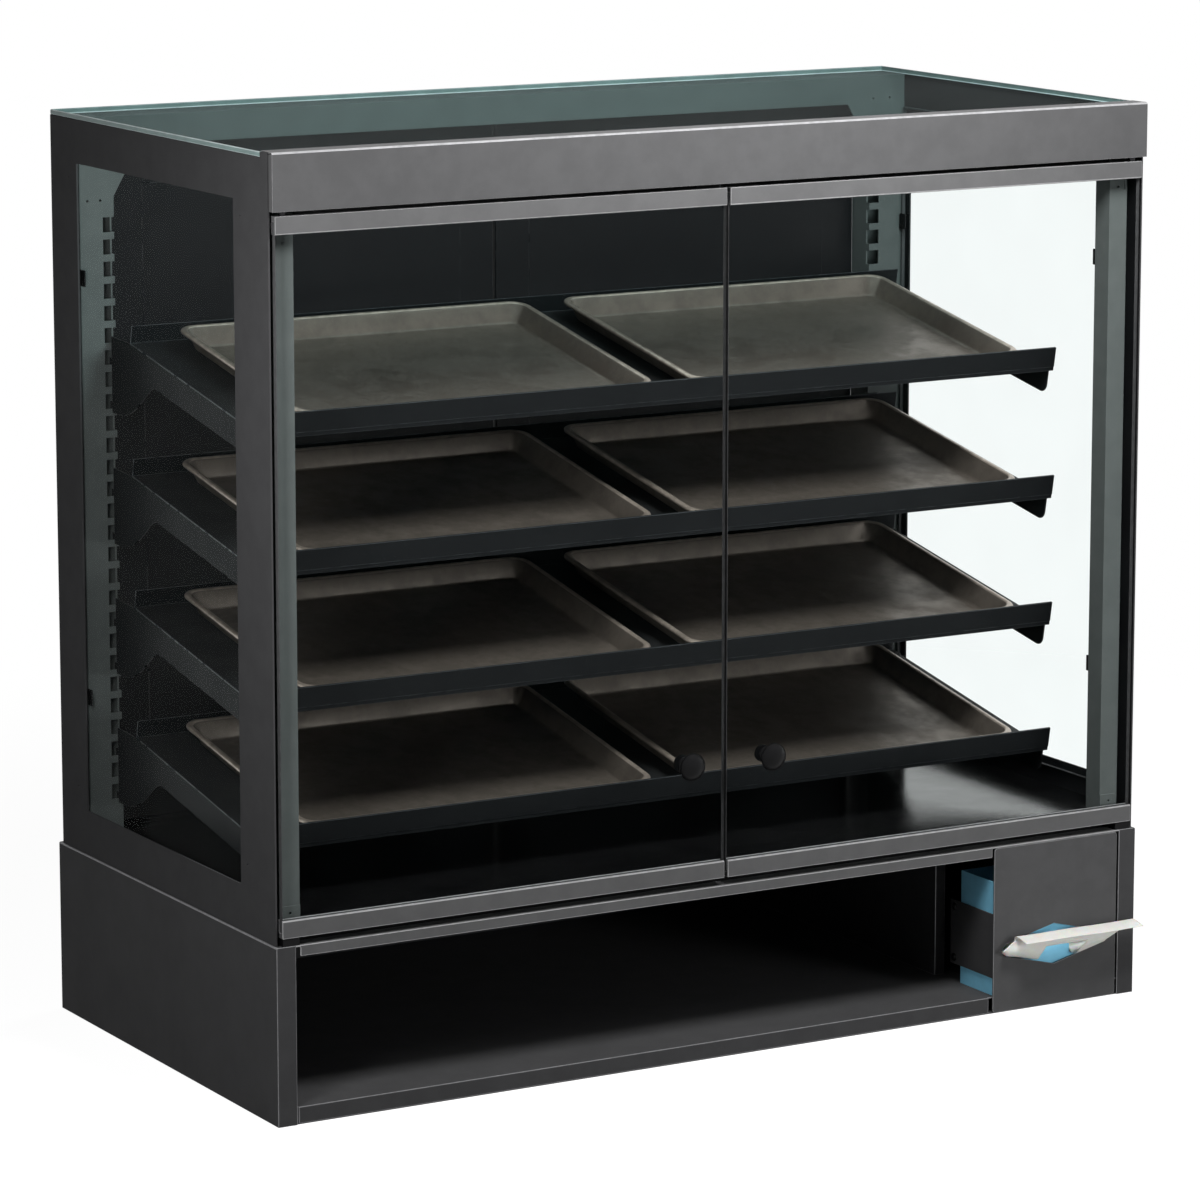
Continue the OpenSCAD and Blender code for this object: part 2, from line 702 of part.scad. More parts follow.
// The fascia: a front face with a rounded top edge, a top fold and two end returns
module fascia() {
    r = 3;
    y1 = glass_y0 - 0.5;
    end_y = panel_y0 - 0.3;
    color("#6b6c6e") difference() {
        union() {
            slab([-fascia_x, fascia_y0, fascia_z0],
                 [fascia_x, fascia_y0 + sheet_t, fascia_z1 - r]);
            slab([-fascia_x, fascia_y0 + r, fascia_z1 - sheet_t], [fascia_x, y1, fascia_z1]);
            translate([-fascia_x, fascia_y0 + r, fascia_z1 - r]) rotate([0, 90, 0])
                difference() {
                    cylinder(h = 2 * fascia_x, r = r);
                    translate([0, 0, -1]) cylinder(h = 2 * fascia_x + 2, r = r - sheet_t);
                    slab([0, -r - 1, -1], [r + 1, r + 1, 2 * fascia_x + 1]);
                    slab([-r - 1, 0, -1], [r + 1, r + 1, 2 * fascia_x + 1]);
                }
            for (side = SIDES) on_side(side)
                slab([-fascia_x, fascia_y0, fascia_z0],
                     [-fascia_x + sheet_t, end_y, fascia_z1 - r]);
        }
        for (side = SIDES) on_side(side)
            slab([-fascia_x - 1, panel_y0 - play, fascia_z1 - sheet_t - 1],
                 [-panel_in_x + play, y1 + 1, fascia_z1 + 1]);
    }
}

module top_glass() {
    color(pane) slab([-side_x, glass_y0, panel_z1], [side_x, panel_y1, overall_h - 1]);
}

// Bearing blocks of the front door pins: one under and one over each door
module pivot_blocks() {
    color(black) for (side = SIDES) on_side(side) translate([-pivot_x, pane_y, 0]) {
        difference() {
            slab([-block_w / 2, -rail_d / 2 + 1, base_h],
                 [block_w / 2, rail_d / 2 + 3, base_h + door_foot_gap - 0.5]);
            translate([0, 0, base_h - 1]) cylinder(h = door_foot_gap + 2, r = pivot_r + fit);
        }
        difference() {
            slab([-pivot_r - 4, -rail_d / 2 + 2, fascia_z0 + sheet_t],
                 [block_w / 2, rail_d / 2 + 4, fascia_z0 + sheet_t + block_h]);
            translate([0, 0, fascia_z0]) cylinder(h = block_h + 4, r = pivot_r + fit);
        }
    }
}

// Magnetic catches that hang under the front header behind the top rails, with one bumper
module door_catches() {
    y0 = rail_y1 + 0.5;
    y1 = y0 + 14;
    z0 = door_z1 - rail_h + 2;
    bumper_h = 7;
    color(black) {
        for (side = SIDES) on_side(side) slab([-catch_x1, y0, z0], [-catch_x0, y1, fascia_z0]);
        slab([0.5, y0, z0 - bumper_h], [catch_x0 + 1, y0 + 4, z0 + 4]);
    }
}

module door_glass(side) {
    y0 = pane_y - door_glass_t / 2;
    color(pane) on_side(side) difference() {
        slab([-door_x1 + 1, y0, door_z0 + rail_h - pane_lap],
             [-1.5, y0 + door_glass_t, door_z1 - rail_h + pane_lap]);
        translate([-knob_x, y0 - 1, base_h + knob_z]) rotate([-90, 0, 0])
            cylinder(h = door_glass_t + 2, r = knob_hole_r);
    }
}

// A door rail grips the glass in its groove; up is 1 for a bottom rail, -1 for a top rail
module door_rail(side, z0, up) {
    groove = door_glass_t / 2 + pane_play;
    edge = 1;
    color(charcoal) on_side(side) difference() {
        translate([0, 0, z0]) side_plate(-door_x1, -door_x0) difference() {
            translate([rail_y0, 0]) square([rail_d, rail_h]);
            translate([pane_y - groove, up > 0 ? rail_h - pane_lap : -1])
                square([2 * groove, pane_lap + 1]);
            translate([rail_y0, up > 0 ? rail_h : 0]) rotate(45)
                square(edge * sqrt(2), center = true);
        }
        translate([-pivot_x, pane_y, up > 0 ? z0 - 1 : z0 + pane_lap + play])
            cylinder(h = rail_h - pane_lap + 1 - play, r = pivot_r + fit);
    }
}

module door_top_rail(side) {
    door_rail(side, door_z1 - rail_h, -1);
}

module door_bottom_rail(side) {
    door_rail(side, door_z0, 1);
}

// A domed knob on a neck through the glass, with a flat cap inside
module door_knob(side) {
    face_y = pane_y - door_glass_t / 2;
    back_y = pane_y + door_glass_t / 2;
    cap_t = 3;
    dome = 9;
    skirt = 2.5;
    sphere_r = (knob_r * knob_r + dome * dome) / (2 * dome);
    color(black) on_side(side) translate([-knob_x, face_y, base_h + knob_z])
        rotate([90, 0, 0]) {
            translate([0, 0, -door_glass_t - cap_t]) rotate_extrude(convexity = 4) {
                square([10, cap_t - play]);
                square([knob_neck_r, door_glass_t + cap_t + knob_reach - dome - skirt + 1]);
            }
            translate([0, 0, play]) cylinder(h = 3, r = 9);
            translate([0, 0, knob_reach - dome - skirt]) cylinder(h = skirt, r = knob_r);
            intersection() {
                translate([0, 0, knob_reach - sphere_r]) sphere(sphere_r);
                translate([0, 0, knob_reach - dome - join]) cylinder(h = dome + 1, r = knob_r);
            }
        }
}

// The two pins of a front door, in the rails and in the pivot blocks
module door_pins(side) {
    reach = rail_h - pane_lap - 1;
    color(black) on_side(side) translate([-pivot_x, pane_y, 0]) {
        translate([0, 0, base_h + play]) cylinder(h = door_foot_gap + reach, r = pivot_r);
        translate([0, 0, door_z1 - reach + play])
            cylinder(h = reach + door_head_gap + sheet_t + block_h - 2, r = pivot_r);
    }
}

// A rear door: a shallow steel pan with hinge pins and a pull, open towards its liner
module rear_door(side) {
    w = rear_door_x1 - rear_door_x0;
    h = rear_door_z1 - rear_door_z0;
    y0 = rear_door_y0 + skin_t + play;
    boss = 2 * (rear_door_x1 - rear_pivot_x) - 2 * skin_t;
    pull_t = 3;
    color(black) on_side(side) {
        difference() {
            slab([-rear_door_x1, y0, rear_door_z0], [-rear_door_x0, rear_door_y1, rear_door_z1]);
            slab([-rear_door_x1 + skin_t, y0 - 1, rear_door_z0 + skin_t],
                 [-rear_door_x0 - skin_t, rear_door_y1 - skin_t, rear_door_z1 - skin_t]);
        }
        for (z = [rear_door_z0, rear_door_z1 - 12])
            slab([-rear_door_x1, y0, z],
                 [-rear_pivot_x + boss / 2 + 1, rear_door_y1, z + 12]);
        translate([-rear_pivot_x, rear_door_y, deck_z - sheet_t])
            cylinder(h = rear_door_z0 - deck_z + sheet_t + 1, r = rear_pin_r);
        translate([-rear_pivot_x, rear_door_y, rear_door_z1 - 1])
            cylinder(h = header_z0 - rear_door_z1 + sheet_t + 1, r = rear_pin_r);
        translate([-rear_pull_x, rear_door_y1 - join, (rear_door_z0 + rear_door_z1) / 2])
            slab([0, 0, -rear_pull_h / 2], [pull_t, 12, rear_pull_h / 2]);
        translate([-rear_pull_x, rear_door_y1 + 12 - pull_t,
                   (rear_door_z0 + rear_door_z1) / 2])
            slab([0, 0, -rear_pull_h / 2], [16, pull_t, rear_pull_h / 2]);
    }
}

// The inner skin of a rear door, with a raised middle field
module rear_liner(side) {
    border = 46;
    color(dark) on_side(side) {
        slab([-rear_door_x1 + 1, rear_door_y0, rear_door_z0 + 1],
             [-rear_door_x0 - 1, rear_door_y0 + skin_t, rear_door_z1 - 1]);
        slab([-rear_door_x1 + border, rear_door_y0 - 1.2, rear_door_z0 + border],
             [-rear_door_x0 - border, rear_door_y0 + join, rear_door_z1 - border]);
    }
}

// A shelf: one sheet folded into a floor, a front lip with a hem and a rear upstand
module shelf(k) {
    back_s = shelf_back_s;
    color(dark) translate([0, 0, shelf_z(k)]) side_plate(-arm_x1, arm_x1) {
        rotate(shelf_slope) {
            translate([lip_s, 0]) square([shelf_l, shelf_t]);
            translate([lip_s, 0]) square([shelf_t, lip_h]);
            translate([lip_s - shelf_t / 2, hem_h]) square([shelf_t, lip_h - hem_h]);
            translate([lip_s - shelf_t / 2, lip_h - shelf_t]) square([2 * shelf_t, shelf_t]);
            translate([back_s - shelf_t, 0]) square([shelf_t, upstand_h]);
        }
    }
}

// The outline of a shelf arm, with two hooks at its rear edge
module arm_outline(k) {
    z = shelf_z(k);
    back_y = rear_y - play;
    foot_z = slot_z0(first_hook + 2) - arm_foot - slot_z0(first_hook) + hook_seat;
    top_drop = 6.4;
    front_s = lip_s + 8;
    hump_s = 100;
    reach = back_y - hump_s;
    polygon(concat(
        [tilt(front_s, 0)],
        [for (p = arc([front_s + arm_corner, -arm_h + arm_corner], arm_corner, 180, 270, 6))
            tilt(p[0], p[1])],
        bezier(tilt(hump_s, -arm_h), tilt(hump_s + 0.2 * reach, -arm_h),
               [hump_s + 0.42 * reach, foot_z], [back_y - 0.15 * reach, foot_z], 10),
        [[back_y, foot_z], [back_y, back_y * tan(shelf_slope) - top_drop],
         tilt(shelf_back_s, 0)]));
    for (i = [0, 2]) {
        seat = slot_z0(first_hook + slots_per_shelf * k + i) - z + play;
        translate([back_y - 6, seat]) square([6 + sheet_t + 2 * play + 3, hook_h]);
        translate([rear_y + sheet_t + play, seat - hook_tail]) square([3, hook_tail + hook_h]);
    }
}

module shelf_arms(k) {
    color(dark) translate([0, 0, shelf_z(k)]) for (side = SIDES) on_side(side)
        side_plate(-arm_x1, -arm_x0) arm_outline(k);
}

// A sheet pan that lies on the shelf against the front lip
module tray(k, side) {
    w = tray_w - 2 * rim_w + 2 * tray_t;
    l = tray_l - 2 * rim_w + 2 * tray_t;
    r = tray_r - rim_w + tray_t;
    color("#8a8073") translate([0, 0, shelf_z(k)]) rotate([shelf_slope, 0, 0])
        translate([side * (tray_w + tray_gap) / 2, tray_s0 + tray_l / 2, tray_n0]) {
            difference() {
                linear_extrude(tray_h) round_rect(w, l, r);
                translate([0, 0, tray_t]) linear_extrude(tray_h)
                    round_rect(w - 2 * tray_t, l - 2 * tray_t, r - tray_t);
            }
            translate([0, 0, tray_h - rim_h]) linear_extrude(rim_h) difference() {
                round_rect(tray_w, tray_l, tray_r);
                round_rect(w - tray_t, l - tray_t, r - tray_t / 2);
            }
        }
}

base_pan();
base_end(-1);  // base_end_left
base_end(1);  // base_end_right
base_top();
storage_floor();
base_back();
bay_divider();
back_screws();
dispenser_front();
carton_strap();
strap_screws();
tissue_carton();
tissue_stack();
tissue_sheet();
deck();
side_panel(-1);  // side_panel_left
side_panel(1);  // side_panel_right
side_glass(-1);  // side_glass_left
side_glass(1);  // side_glass_right
glass_clips();
front_post(-1);  // front_post_left
front_post(1);  // front_post_right
rear_post(-1);  // rear_post_left
rear_post(1);  // rear_post_right
back_header();
front_header();
fascia();
top_glass();
pivot_blocks();
door_catches();
door_glass(-1);  // door_glass_left
door_top_rail(-1);  // door_top_rail_left
door_bottom_rail(-1);  // door_bottom_rail_left
door_knob(-1);  // door_knob_left
door_pins(-1);  // door_pins_left
door_glass(1);  // door_glass_right
door_top_rail(1);  // door_top_rail_right
door_bottom_rail(1);  // door_bottom_rail_right
door_knob(1);  // door_knob_right
door_pins(1);  // door_pins_right
rear_door(-1);  // rear_door_left
rear_liner(-1);  // rear_liner_left
rear_door(1);  // rear_door_right
rear_liner(1);  // rear_liner_right
for (k = [0:SHELVES - 1]) {
    shelf(k);
    shelf_arms(k);
    tray(k, -1);
    tray(k, 1);
}
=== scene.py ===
"""Looks of a countertop bakery display case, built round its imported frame.

Metres, +Z up, the front faces -Y and the origin is the centre of the underside.
"""

import json
import math
import random

import bmesh
import bpy
from bpy.props import (
    FloatProperty,
    FloatVectorProperty,
    IntProperty,
    PointerProperty,
)
from mathutils import Matrix, Vector


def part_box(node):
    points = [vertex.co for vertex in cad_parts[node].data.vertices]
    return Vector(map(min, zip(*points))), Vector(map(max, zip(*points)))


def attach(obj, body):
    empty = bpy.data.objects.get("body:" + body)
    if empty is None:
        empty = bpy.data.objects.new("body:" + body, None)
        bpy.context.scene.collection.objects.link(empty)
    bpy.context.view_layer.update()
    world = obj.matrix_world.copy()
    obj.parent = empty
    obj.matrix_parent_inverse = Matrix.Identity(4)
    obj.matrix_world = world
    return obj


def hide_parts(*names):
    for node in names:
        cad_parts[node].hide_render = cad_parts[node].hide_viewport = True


bl_info = {
    "name": "Bakery display case",
    "version": (1, 0, 0),
    "blender": (4, 5, 0),
    "location": "View3D > Sidebar > Display Case",
    "description": "Builds the looks of a countertop bakery display case round its frame",
    "category": "Object",
}

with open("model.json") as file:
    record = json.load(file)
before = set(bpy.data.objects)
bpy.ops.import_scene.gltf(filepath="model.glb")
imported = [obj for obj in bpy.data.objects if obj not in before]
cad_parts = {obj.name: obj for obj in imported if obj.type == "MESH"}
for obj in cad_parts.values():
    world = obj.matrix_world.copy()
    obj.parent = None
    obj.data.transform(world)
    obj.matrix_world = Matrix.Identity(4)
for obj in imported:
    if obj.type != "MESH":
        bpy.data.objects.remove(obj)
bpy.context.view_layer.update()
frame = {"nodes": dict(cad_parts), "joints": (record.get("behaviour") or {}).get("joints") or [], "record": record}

MM = 0.001
SIDES = {"left": -1, "right": 1}
SHELVES = 4
MERGE = 0.01 * MM
FLAT_ANGLE = math.radians(0.5)
EDGE_ANGLE = math.radians(30)
CREASE_ANGLE = math.radians(40)
SQUARE_FACE = 0.96
FACING = 0.9
ARRIS_FACING = 0.3
MIRROR_INDEX = 1.16
GREY = (0.1, 0.1, 0.1, 1.0)
WHITE = (1.0, 1.0, 1.0, 1.0)

BODY_OF = {
    node: body
    for body, nodes in frame["record"]["behaviour"]["bodies"].items()
    for node in nodes
}


def length(name, description, default, low=0.0, high=10.0):
    """A length property in metres."""
    return FloatProperty(
        name=name, description=description, default=default, min=low, max=high,
        unit="LENGTH", subtype="DISTANCE", precision=5,
    )


def colour(name, description, default):
    """A linear colour property."""
    return FloatVectorProperty(
        name=name, description=description, default=default, size=3, min=0.0, max=1.0,
        subtype="COLOR",
    )


def share(name, description, default):
    """A property between 0 and 1."""
    return FloatProperty(
        name=name, description=description, default=default, min=0.0, max=1.0,
        subtype="FACTOR",
    )


def power(name, place, default):
    """The power of a lamp in watts."""
    return FloatProperty(
        name=name, description=f"Power of the lamp {place}, in watts", default=default,
        min=0.0, max=1000.0,
    )


class CaseColours(bpy.types.PropertyGroup):
    """Colours of the finishes"""

    charcoal: colour(
        "Charcoal", "Powder coat of the base and the door rails", (0.116, 0.116, 0.118)
    )
    front: colour("Front panel", "Powder coat of the dispenser panel", (0.088, 0.088, 0.09))
    # The dark colour also paints shade on the base ends, the storage floor and the divider.
    dark: colour(
        "Dark", "Powder coat of the side panels and the hidden sheets", (0.062, 0.062, 0.064)
    )
    fascia: colour("Fascia", "Powder coat of the fascia", (0.088, 0.088, 0.09))
    post: colour("Posts", "Powder coat of the posts and the back header", (0.115, 0.126, 0.124))
    gloss: colour("Deck", "Gloss coat of the deck", (0.004, 0.004, 0.0045))
    # The rear coat also paints shade on the inner faces of the side panels.
    rear: colour(
        "Rear doors", "Satin coat of the rear doors and the inner faces", (0.009, 0.009, 0.01)
    )
    shelf: colour("Shelves", "Powder coat of the shelves and their arms", (0.01, 0.011, 0.012))
    plastic: colour(
        "Plastic", "Moulded plastic of the knobs, clips and blocks", (0.007, 0.007, 0.0075)
    )
    steel: colour("Steel", "Blackened steel of the pins", (0.03, 0.03, 0.032))
    pan: colour("Pans", "Hard coated aluminium of the sheet pans", (0.2, 0.17, 0.145))
    card: colour("Card", "Printed card of the tissue carton", (0.25, 0.63, 0.86))
    tissue: colour("Tissue", "Waxed tissue", (0.87, 0.84, 0.80))
    dust: colour("Dust", "Dust that settles on faces that look up", (0.3, 0.29, 0.27))
    glass_edge: colour("Glass edge", "Cut edge of the top glass", (0.2, 0.3, 0.29))
    glass_arris: colour("Glass arris", "Ground corners of the top glass", (0.7, 0.82, 0.82))
    glass_tint: colour(
        "Glass tint", "Light that one face of the glass lets through", (0.982, 0.994, 0.992)
    )
    top_tint: colour(
        "Top tint", "Light that one face of the top glass lets through", (0.82, 0.9, 0.9)
    )


class CaseSizes(bpy.types.PropertyGroup):
    """Sizes of the details that the frame leaves to the looks"""

    fold_radius: length("Fold radius", "Round on the edges of the folded sheets", 0.9 * MM)
    shelf_radius: length("Shelf radius", "Round on the edges of the shelves", 0.5 * MM)
    pane_radius: length("Pane radius", "Ground edge of the glass panes", 1.0 * MM)
    moulded_radius: length("Moulded radius", "Round on the edges of the plastic parts", 0.8 * MM)
    coat_grain: length("Coat grain", "Size of the grain of the powder coat", 1.1 * MM)
    pan_metal: length("Pan metal", "Thickness of the pan metal", 1.0 * MM)
    pan_flare: length("Pan flare", "Distance that a pan wall leans out", 7.5 * MM)
    bead_width: length("Bead width", "Width of the rolled rim of a pan", 7.0 * MM)
    bead_height: length("Bead height", "Height of the rolled rim of a pan", 5.2 * MM)
    pan_corner: length("Pan corner", "Corner radius of a pan at its rim", 22 * MM)
    tissue_sheet: length("Tissue", "Thickness of the tissue with its air", 0.35 * MM)
    tissue_layers: IntProperty(
        name="Tissue layers", description="Folded tissues that the stack shows",
        default=26, min=4, max=80,
    )
    screw_recess: share("Screw recess", "Size of the recess as a share of the head", 0.5)


class CaseStage(bpy.types.PropertyGroup):
    """Camera, lamps and floor"""

    focal_length: FloatProperty(
        name="Focal length", description="Focal length on a sensor 36 mm wide, in millimetres",
        default=157.06, min=20.0, max=400.0,
    )
    camera_shift: FloatProperty(
        name="Camera shift", description="Upward shift of the lens as a share of the picture width",
        default=-0.06, min=-0.5, max=0.5,
    )
    camera_place: FloatVectorProperty(
        name="Camera", description="Place of the camera", size=3,
        default=(-3.015, -5.2343, 1.6416), unit="LENGTH", subtype="TRANSLATION",
    )
    camera_turn: FloatVectorProperty(
        name="Camera turn", description="Turn of the camera about X, Y and Z", size=3,
        default=(math.radians(79.944), 0.0, math.radians(-29.94)),
        unit="ROTATION", subtype="EULER",
    )
    key_power: power("Key light", "over the front", 23.0)
    side_power: power("Side light", "at the front left corner", 4.5)
    fill_power: power("Fill light", "low before the front right corner", 6.5)
    rim_power: power("Rim light", "behind the right side", 12.0)
    room_light: share("Room light", "Strength of the even light from all round", 0.03)
    floor_tone: share("Floor tone", "Tone of the floor", 0.30)
    floor_lift: share("Floor lift", "Light of the floor where it is seen", 0.93)


# Node trees

def feed(tree, socket, value):
    """Sets an input, or links it to a socket or to the first output of a node."""
    if isinstance(value, bpy.types.Node):
        value = value.outputs[0]
    if isinstance(value, bpy.types.NodeSocket):
        tree.links.new(value, socket)
    else:
        socket.default_value = value


def add(tree, kind, inputs=None, **settings):
    """Adds a node, sets its settings and feeds its inputs by name or number."""
    node = tree.nodes.new(kind)
    for key, value in settings.items():
        setattr(node, key, value)
    for key, value in (inputs or {}).items():
        feed(tree, node.inputs[key], value)
    return node


def socket_type(label, default):
    """The type of a group's socket, from its default, or from its label if it has none."""
    if default is None:
        return f"NodeSocket{label}"
    if isinstance(default, tuple):
        return "NodeSocketVector" if len(default) == 3 else "NodeSocketColor"
    return "NodeSocketInt" if isinstance(default, int) else "NodeSocketFloat"


def new_group(name, inputs, outputs, kind="ShaderNodeTree"):
    """A node group with named sockets; returns it with what it takes in and what it puts out."""
    group = bpy.data.node_groups.new(name, kind)
    for way, sockets in (("INPUT", inputs), ("OUTPUT", outputs)):
        for label, default in sockets.items():
            item = group.interface.new_socket(
                label, in_out=way, socket_type=socket_type(label, default)
            )
            if way == "INPUT" and default is not None:
                item.default_value = default
    start, end = group.nodes.new("NodeGroupInput"), group.nodes.new("NodeGroupOutput")
    return group, start.outputs, end.inputs


def put_out(tree, end, **values):
    """Feeds what a group puts out, and returns the group."""
    for label, value in values.items():
        feed(tree, end[label], value)
    return tree


def calc(tree, operation, *values, **settings):
    """A Math node on its values."""
    return add(tree, "ShaderNodeMath", dict(enumerate(values)), operation=operation, **settings)


def vector(tree, x=0.0, y=0.0, z=0.0):
    """A vector of three values."""
    return add(tree, "ShaderNodeCombineXYZ", {0: x, 1: y, 2: z})


def object_place(tree, stretch=(1, 1, 1)):
    """Object coordinates, stretched along the axes."""
    place = add(tree, "ShaderNodeTexCoord").outputs["Object"]
    return add(tree, "ShaderNodeMapping", {"Vector": place, "Scale": stretch})


def noise(tree, place, size, detail=3.0, rough=0.55):
    """Noise whose features measure about one size."""
    return add(tree, "ShaderNodeTexNoise", {
        "Vector": place, "Scale": calc(tree, "DIVIDE", 1.0, size), "Detail": detail,
        "Roughness": rough,
    })


def ramp(tree, value, low, high, to_low=0.0, to_high=1.0):
    """Maps a value smoothly from one range to another."""
    return add(tree, "ShaderNodeMapRange", {
        "Value": value, "From Min": low, "From Max": high, "To Min": to_low, "To Max": to_high,
    }, interpolation_type="SMOOTHSTEP")


def between(tree, factor, low, high):
    """A value between two limits."""
    return add(tree, "ShaderNodeMapRange", {"Value": factor, "To Min": low, "To Max": high})


def blend_colour(tree, factor, first, second):
    """Mixes two colours."""
    mix = add(tree, "ShaderNodeMix", {0: factor, 6: first, 7: second}, data_type="RGBA")
    return mix.outputs[2]


def rgba(value, strength=1.0):
    """A colour with its alpha, darker or lighter by a factor."""
    return (*(min(1.0, strength * part) for part in value), 1.0)


def powder_grain():
    """Grain and mottle of a powder coat."""
    tree, start, end = new_group(
        "powder_grain", {"Grain": 0.001, "Mottle": 0.03}, {"Height": 0.0, "Mottle": 0.0}
    )
    place = object_place(tree)
    grain = noise(tree, place, start["Grain"], detail=2.0)
    mottle = noise(tree, place, start["Mottle"], detail=4.0, rough=0.6)
    return put_out(tree, end, Height=grain, Mottle=mottle)


def wipe_streaks():
    """Clouds that a wiping cloth leaves, as a roughness between two limits."""
    tree, start, end = new_group(
        "wipe_streaks",
        {"Size": 0.05, "Low": 0.4, "High": 0.5}, {"Roughness": 0.0, "Mask": 0.0},
    )
    mask = ramp(tree, noise(tree, object_place(tree), start["Size"], rough=0.5), 0.3, 0.7)
    rough = between(tree, mask, start["Low"], start["High"])
    return put_out(tree, end, Mask=mask, Roughness=rough)


def settled_dust():
    """Dust on the faces that look up, thicker in patches."""
    tree, start, end = new_group(
        "settled_dust", {"Coat": GREY, "Dust": GREY, "Amount": 0.1}, {"Colour": GREY}
    )
    coordinates = add(tree, "ShaderNodeTexCoord").outputs
    axes = add(tree, "ShaderNodeSeparateXYZ", {"Vector": coordinates["Normal"]}).outputs
    cloud = noise(tree, coordinates["Object"], 0.06, detail=6.0, rough=0.7)
    patches = ramp(tree, cloud, 0.3, 0.75, 0.25, 1.0)
    settled = calc(tree, "MULTIPLY", ramp(tree, axes["Z"], 0.55, 0.98), patches)
    mask = calc(tree, "MULTIPLY", settled, start["Amount"])
    return put_out(tree, end, Colour=blend_colour(tree, mask, start["Coat"], start["Dust"]))


def worn_edge():
    """A coat rubbed thin along an edge, with nicks, and lighter there as a painted highlight."""
    tree, start, end = new_group(
        "worn_edge", {"Coat": GREY, "Worn": GREY, "Size": 0.02}, {"Colour": GREY}
    )
    nicks = noise(tree, object_place(tree), start["Size"], detail=6.0, rough=0.65)
    mask = ramp(tree, nicks, 0.3, 0.7)
    return put_out(tree, end, Colour=blend_colour(tree, mask, start["Coat"], start["Worn"]))


def rolled_lines():
    """Fine lines of rolled or turned metal."""
    tree, start, end = new_group(
        "rolled_lines",
        {"Size": 0.001, "Low": 0.3, "High": 0.5}, {"Height": 0.0, "Roughness": 0.0, "Mask": 0.0},
    )
    lines = noise(tree, object_place(tree, (0.04, 1.0, 1.0)), start["Size"])
    blotches = noise(tree, object_place(tree), 0.045, detail=6.0, rough=0.68)
    mask = ramp(tree, blotches, 0.36, 0.66)
    rough = between(tree, mask, start["Low"], start["High"])
    return put_out(tree, end, Height=lines, Mask=mask, Roughness=rough)


def paper_fibre():
    """Crossed fibres of paper and board."""
    tree, start, end = new_group("paper_fibre", {"Size": 0.001}, {"Height": 0.0, "Tone": 0.0})
    along = noise(tree, object_place(tree, (0.25, 1.0, 1.0)), start["Size"], detail=4.0)
    across = noise(tree, object_place(tree, (1.0, 1.0, 0.3)), start["Size"], detail=4.0)
    cloudy = ramp(tree, noise(tree, object_place(tree), 0.012, detail=4.0), 0.3, 0.7)
    return put_out(tree, end, Height=calc(tree, "ADD", along, across), Tone=cloudy)


def shared(tree, build, inputs):
    """Places a shared group in a material; it is built the first time."""
    group = bpy.data.node_groups.get(build.__name__) or build()
    return add(tree, "ShaderNodeGroup", inputs, node_tree=group).outputs


def bump(tree, height, distance):
    return add(tree, "ShaderNodeBump", {"Height": height, "Distance": distance, "Strength": 1.0})


def new_material(name):
    """A material without nodes, and its node tree."""
    material = bpy.data.materials.new(name)
    material.use_nodes = True
    material.node_tree.nodes.clear()
    return material, material.node_tree


def sizes_of(group):
    """The sizes that belong to the same scene as a property group."""
    return group.id_data.case_sizes


def built_once(ending=""):
    """Turns a function that fills a tree into one of the context that returns the material.

    The material is named for the key and the ending, and is built the first time.
    """
    def decorate(fill):
        def material_for(context, key):
            name = f"{key}{ending}"
            if name not in bpy.data.materials:
                fill(new_material(name)[1], context.scene.case_colours, key)
            return bpy.data.materials[name]
        return material_for
    return decorate


def surface(tree, shader):
    add(tree, "ShaderNodeOutputMaterial", {"Surface": shader})


def principled(tree, inputs):
    """Ends a tree in one Principled shader."""
    surface(tree, add(tree, "ShaderNodeBsdfPrincipled", inputs))


# Coats: colour, slot, roughness from and to, dust, reflection, lift of the folds as a painted highlight, their
# bare metal
COATS = {
    "charcoal": ("charcoal", "charcoal_steel", 0.50, 0.55, 0.04, 0.05, 3.6, 0.45),
    "front": ("front", "charcoal_steel", 0.50, 0.55, 0.03, 0.03, 3.2, 0.3),
    # The base coat is the charcoal coat in the darker colour of the side panels: painted shade on the lower
    # sheets.
    "base": ("dark", "charcoal_steel", 0.50, 0.55, 0.03, 0.02, 4.2, 0.30),
    "dark": ("dark", "dark_steel", 0.50, 0.55, 0.02, 0.01, 1.6, 0.0),
    "fascia": ("fascia", "grey_fascia", 0.48, 0.53, 0.04, 0.10, 7.0, 0.75),
    "post": ("post", "grey_post", 0.46, 0.52, 0.03, 0.04, 1.8, 0.0),
    "gloss": ("gloss", "black_gloss", 0.12, 0.17, 0.010, 0.60, 2.0, 0.0),
    "rear": ("rear", "black_door", 0.38, 0.46, 0.03, 0.16, 2.0, 0.0),
    "shelf": ("shelf", "black_shelf", 0.40, 0.48, 0.03, 0.06, 9.0, 0.5),
    "shelf_arm": ("shelf", "black_shelf", 0.40, 0.48, 0.03, 0.06, 2.0, 0.0),
    "plastic": ("plastic", "black_plastic", 0.30, 0.38, 0.02, 0.08, 2.0, 0.0),
}


@built_once("_coat")
def coat_material(tree, colours, key):
    """A powder coat with grain, wiping streaks and settled dust."""
    field, _, low, high, dust, reflection = COATS[key][:6]
    base = getattr(colours, field)
    grain = shared(tree, powder_grain, {"Grain": sizes_of(colours).coat_grain, "Mottle": 28 * MM})
    streaks = shared(tree, wipe_streaks, {"Size": 55 * MM, "Low": low, "High": high})
    tone = ramp(tree, grain["Mottle"], 0.3, 0.7)
    dusty = shared(tree, settled_dust, {
        "Coat": blend_colour(tree, tone, rgba(base, 0.94), rgba(base, 1.05)),
        "Dust": rgba(colours.dust), "Amount": dust,
    })
    principled(tree, {
        "Base Color": dusty["Colour"],
        "Roughness": streaks["Roughness"],
        "Specular IOR Level": reflection,
        "Normal": bump(tree, grain["Height"], 0.02 * MM if key == "gloss" else 0.09 * MM),
    })


